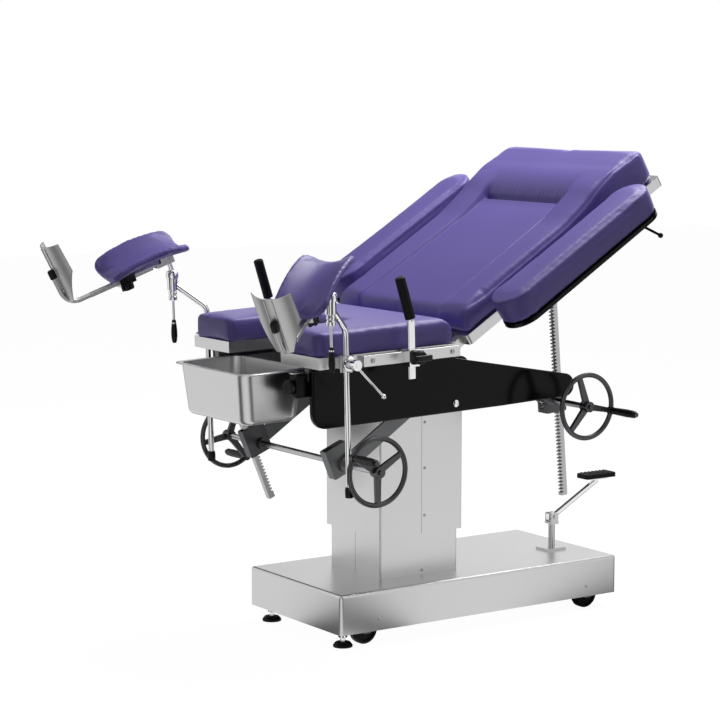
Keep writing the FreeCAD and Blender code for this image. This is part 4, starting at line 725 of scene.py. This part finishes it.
def at(place, x, y, z, axis=None):
    """A place in millimetres in a frame, with Z turned towards an axis."""
    spot = place @ Matrix.Translation((x / 1000, y / 1000, z / 1000))
    if axis:
        spot = spot @ Vector(axis).to_track_quat("Z", "Y").to_matrix().to_4x4()
    return spot


# %% [markdown]
# ### Leg holder fittings
# The lever under each knuckle ends in a tapered black handle. The bar of the foot plate ends in
# a black cap, and black covers hide the clamp and the hinge under the knee cushion.

# %% Leg holder fittings
LEVER_HANDLE = [(3.9, -97), (5.2, -98), (6.8, -110), (8.3, -128), (8.4, -140), (6.8, -154), (4.5, -159)]
COLLAR = [(10.2, -46), (11.8, -44), (11.8, -36), (9.8, -33.5), (9.6, -31), (11.2, -29.5), (11.2, -21.5),
          (10.2, -20)]
CROWN = [(16.3, 13), (17.0, 14.2), (17.0, 26), (14.8, 31.5), (12.0, 33.4), (8.5, 34.5)]
BOOT_CAP = [(8.4, 79), (9.2, 80), (9.2, 98), (7.4, 102.5), (4.2, 103.5)]
ROD_CAP = [(8.6, 426), (10.3, 428), (10.6, 446), (9.2, 452), (7.7, 453)]
ROD_X, ROD_Y = -505, 330
RISER_TOP = (-320, 0, 62)
RISER_LEAN = math.radians(7.0)
RISER_AXIS = (-math.sin(RISER_LEAN), 0, math.cos(RISER_LEAN))
COVER_END = 0.0235
COVER_CUTS = (((0, 0, -0.0148), (0, 0, -1)), ((COVER_END, 0, 0), (1, 0, 0)), ((-COVER_END, 0, 0), (-1, 0, 0)))


def open_cover(name):
    """A thin cover like a box without its bottom and its two ends."""
    cover = block_piece(name, (48.5, 34.5, 31.0), 3.0)
    make_active(cover)
    bpy.ops.object.mode_set(mode="EDIT")
    for point, outward in COVER_CUTS:
        bpy.ops.mesh.select_all(action="SELECT")
        bpy.ops.mesh.bisect(plane_co=point, plane_no=outward, clear_outer=True, use_fill=False)
    bpy.ops.object.mode_set(mode="OBJECT")
    apply_modifier(cover, "SOLIDIFY", thickness=0.0011, offset=-1)
    return cover


for side_name, sign in SIDES:
    knuckle_place = in_knuckle(side_name)
    knee_place = in_knee(side_name)
    handle = turn_on_lathe("lever_handle_" + side_name, LEVER_HANDLE)
    settle(handle, knuckle_place, "black_plastic", "knuckle_" + side_name)
    collar = turn_on_lathe("knuckle_collar_" + side_name, COLLAR)
    settle(collar, knuckle_place, "chrome", "knuckle_" + side_name)
    crown = turn_on_lathe("knuckle_crown_" + side_name, CROWN)
    settle(crown, knuckle_place, "chrome", "knuckle_" + side_name)
    cap = turn_on_lathe("boot_cap_" + side_name, BOOT_CAP)
    settle(cap, at(knee_place, *RISER_TOP, RISER_AXIS), "black_plastic", "boot_" + side_name)
    foot_cap = turn_on_lathe("rod_cap_" + side_name, ROD_CAP)
    settle(foot_cap, at(IN_TOP, ROD_X, sign * ROD_Y, 0), "black_plastic", "leg_rod_" + side_name)
    clamp_cover = open_cover("knee_clamp_cover_" + side_name)
    settle(clamp_cover, at(knee_place, -145, 0, 65), "black_plastic", "knee_" + side_name)
    hinge_cover = block_piece("knee_hinge_cover_" + side_name, (13, 27.6, 14), 2.5)
    settle(hinge_cover, at(knee_place, -44.5, 0, 71.5), "black_plastic", "knee_" + side_name)
print("leg holder fittings", 14)

# %% [markdown]
# ### Clamps on the seat
# A bright ring surrounds each clamping screw of the leg rods. The hand grips are locked by a
# black wing knob on a black housing.

# %% Rod clamps and hand grip knobs
CLAMP_RING = [(12.6, 0), (17.2, 0.6), (18.4, 3.2), (18.4, 7.4), (16.6, 9.6), (12.6, 10)]
GRIP_X, RAIL_Z = -304, 754

for side_name, sign in SIDES:
    ring = turn_on_lathe("clamp_ring_" + side_name, CLAMP_RING, 36)
    settle(ring, at(IN_TOP, ROD_X, sign * 341, 756, (0, sign, 0)), "chrome", "top")
    housing = block_piece("grip_housing_" + side_name, (34, 13, 34), 4.0)
    settle(housing, at(IN_TOP, GRIP_X, sign * 345.5, RAIL_Z), "black_plastic", "grip_" + side_name)
    wing = block_piece("grip_wing_" + side_name, (52, 9, 15), 3.6)
    settle(wing, at(IN_TOP, GRIP_X, sign * 370.5, RAIL_Z), "black_plastic", "grip_knob_" + side_name)
print("clamp pieces", 6)

# %% [markdown]
# ### Basin latch
# A black block with a round knob sits beside the basin on the near side and holds it in place.

# %% Basin latch
LATCH_Y = -203.5
LATCH_KNOB = [(7, 0), (8, 5), (18.5, 6), (20, 9), (20, 17), (17.5, 20.5), (7, 21), (5.5, 19.4)]

latch = block_piece("basin_latch", (46, 32, 58), 3.5)
settle(latch, at(IN_TOP, -556, LATCH_Y, 694), "black_plastic", "top")
latch_knob = turn_on_lathe("basin_latch_knob", LATCH_KNOB, 36)
settle(latch_knob, at(IN_TOP, -578, LATCH_Y, 692, (-1, 0, 0)), "black_plastic", "top")
latch_tab = block_piece("basin_latch_tab", (30, 20, 3.0), 1.0)
settle(latch_tab, at(IN_TOP, -566, -199, 725), "chrome", "top")
print("basin latch", 3)

# %% [markdown]
# ### Screws, stems and small caps
# Pan-head screws hold the column's sheet covers beside their seams, and the rails. Each head is
# turned with a shallow dimple in its middle, and those on the rails are larger.

# %% Screws and caps
SCREW_HEAD = [(3.9, 0), (3.9, 0.7), (3.3, 1.5), (1.7, 1.9), (1.1, 1.1)]
RAIL_SCREW_HEAD = [(radius * 1.7, height * 1.2) for radius, height in SCREW_HEAD]
PIVOT_CAP = [(9.4, 0), (9.4, 1.2), (7.8, 2.4), (3.2, 2.9), (2.4, 1.6)]
FOOT_STEM = [(7.4, 13.5), (7.4, 16), (6.5, 17), (6.5, 23.6)]
FOOT_NUT = [(10.4, 23.4), (11.6, 24.2), (11.6, 33.8), (10.4, 34.6)]
COLUMN_SEAM_X = -127

screw_places = []
for side_name, sign in SIDES:
    for height in (300, 425, 545):
        screw_places.append((IN_BASE, COLUMN_SEAM_X, sign * 126, height, sign, "lifted"))
    screw_places.append((IN_BASE, COLUMN_SEAM_X, sign * 115, 153, sign, "base"))
    for x in (-334, 346):
        screw_places.append((IN_BASE, x, sign * 217, 69, sign, "base"))
    for x in (-419, -178):
        screw_places.append((IN_TOP, x, sign * 318, RAIL_Z, sign, "top"))
for number, (place, x, y, z, sign, body) in enumerate(screw_places):
    screw = turn_on_lathe("screw_%02d" % number, RAIL_SCREW_HEAD if body == "top" else SCREW_HEAD, 20)
    settle(screw, at(place, x, y, z, (0, sign, 0)), "bright_steel", body)
for side_name, sign in SIDES:
    foot_place = at(IN_BASE, -413, sign * 170, 0)
    pivot_cap = turn_on_lathe("pivot_cap_" + side_name, PIVOT_CAP)
    settle(pivot_cap, at(IN_TOP, -113, sign * 242.6, 607, (0, sign, 0)), "chrome", "top")
    stem = turn_on_lathe("foot_stem_" + side_name, FOOT_STEM)
    settle(stem, foot_place, "chrome", "foot_" + side_name)
    nut = turn_on_lathe("foot_nut_" + side_name, FOOT_NUT, 6)
    settle(nut, foot_place, "chrome", "foot_" + side_name, 20)
print("screws", len(screw_places))

# %% [markdown]
# ### Pedal tread
# The pedal's rubber has raised bars across it, so that a shoe doesn't slip.

# %% Pedal tread
TREAD_BARS = 7
TREAD_START, TREAD_STEP = 474, 13.3

for number in range(TREAD_BARS):
    bar = block_piece("pedal_bar_%d" % number, (5, 42, 3.0), 0.9, 2)
    settle(bar, at(IN_BASE, TREAD_START + TREAD_STEP * number, -56, 341), "rubber", "pedal")
print("pedal bars", TREAD_BARS)
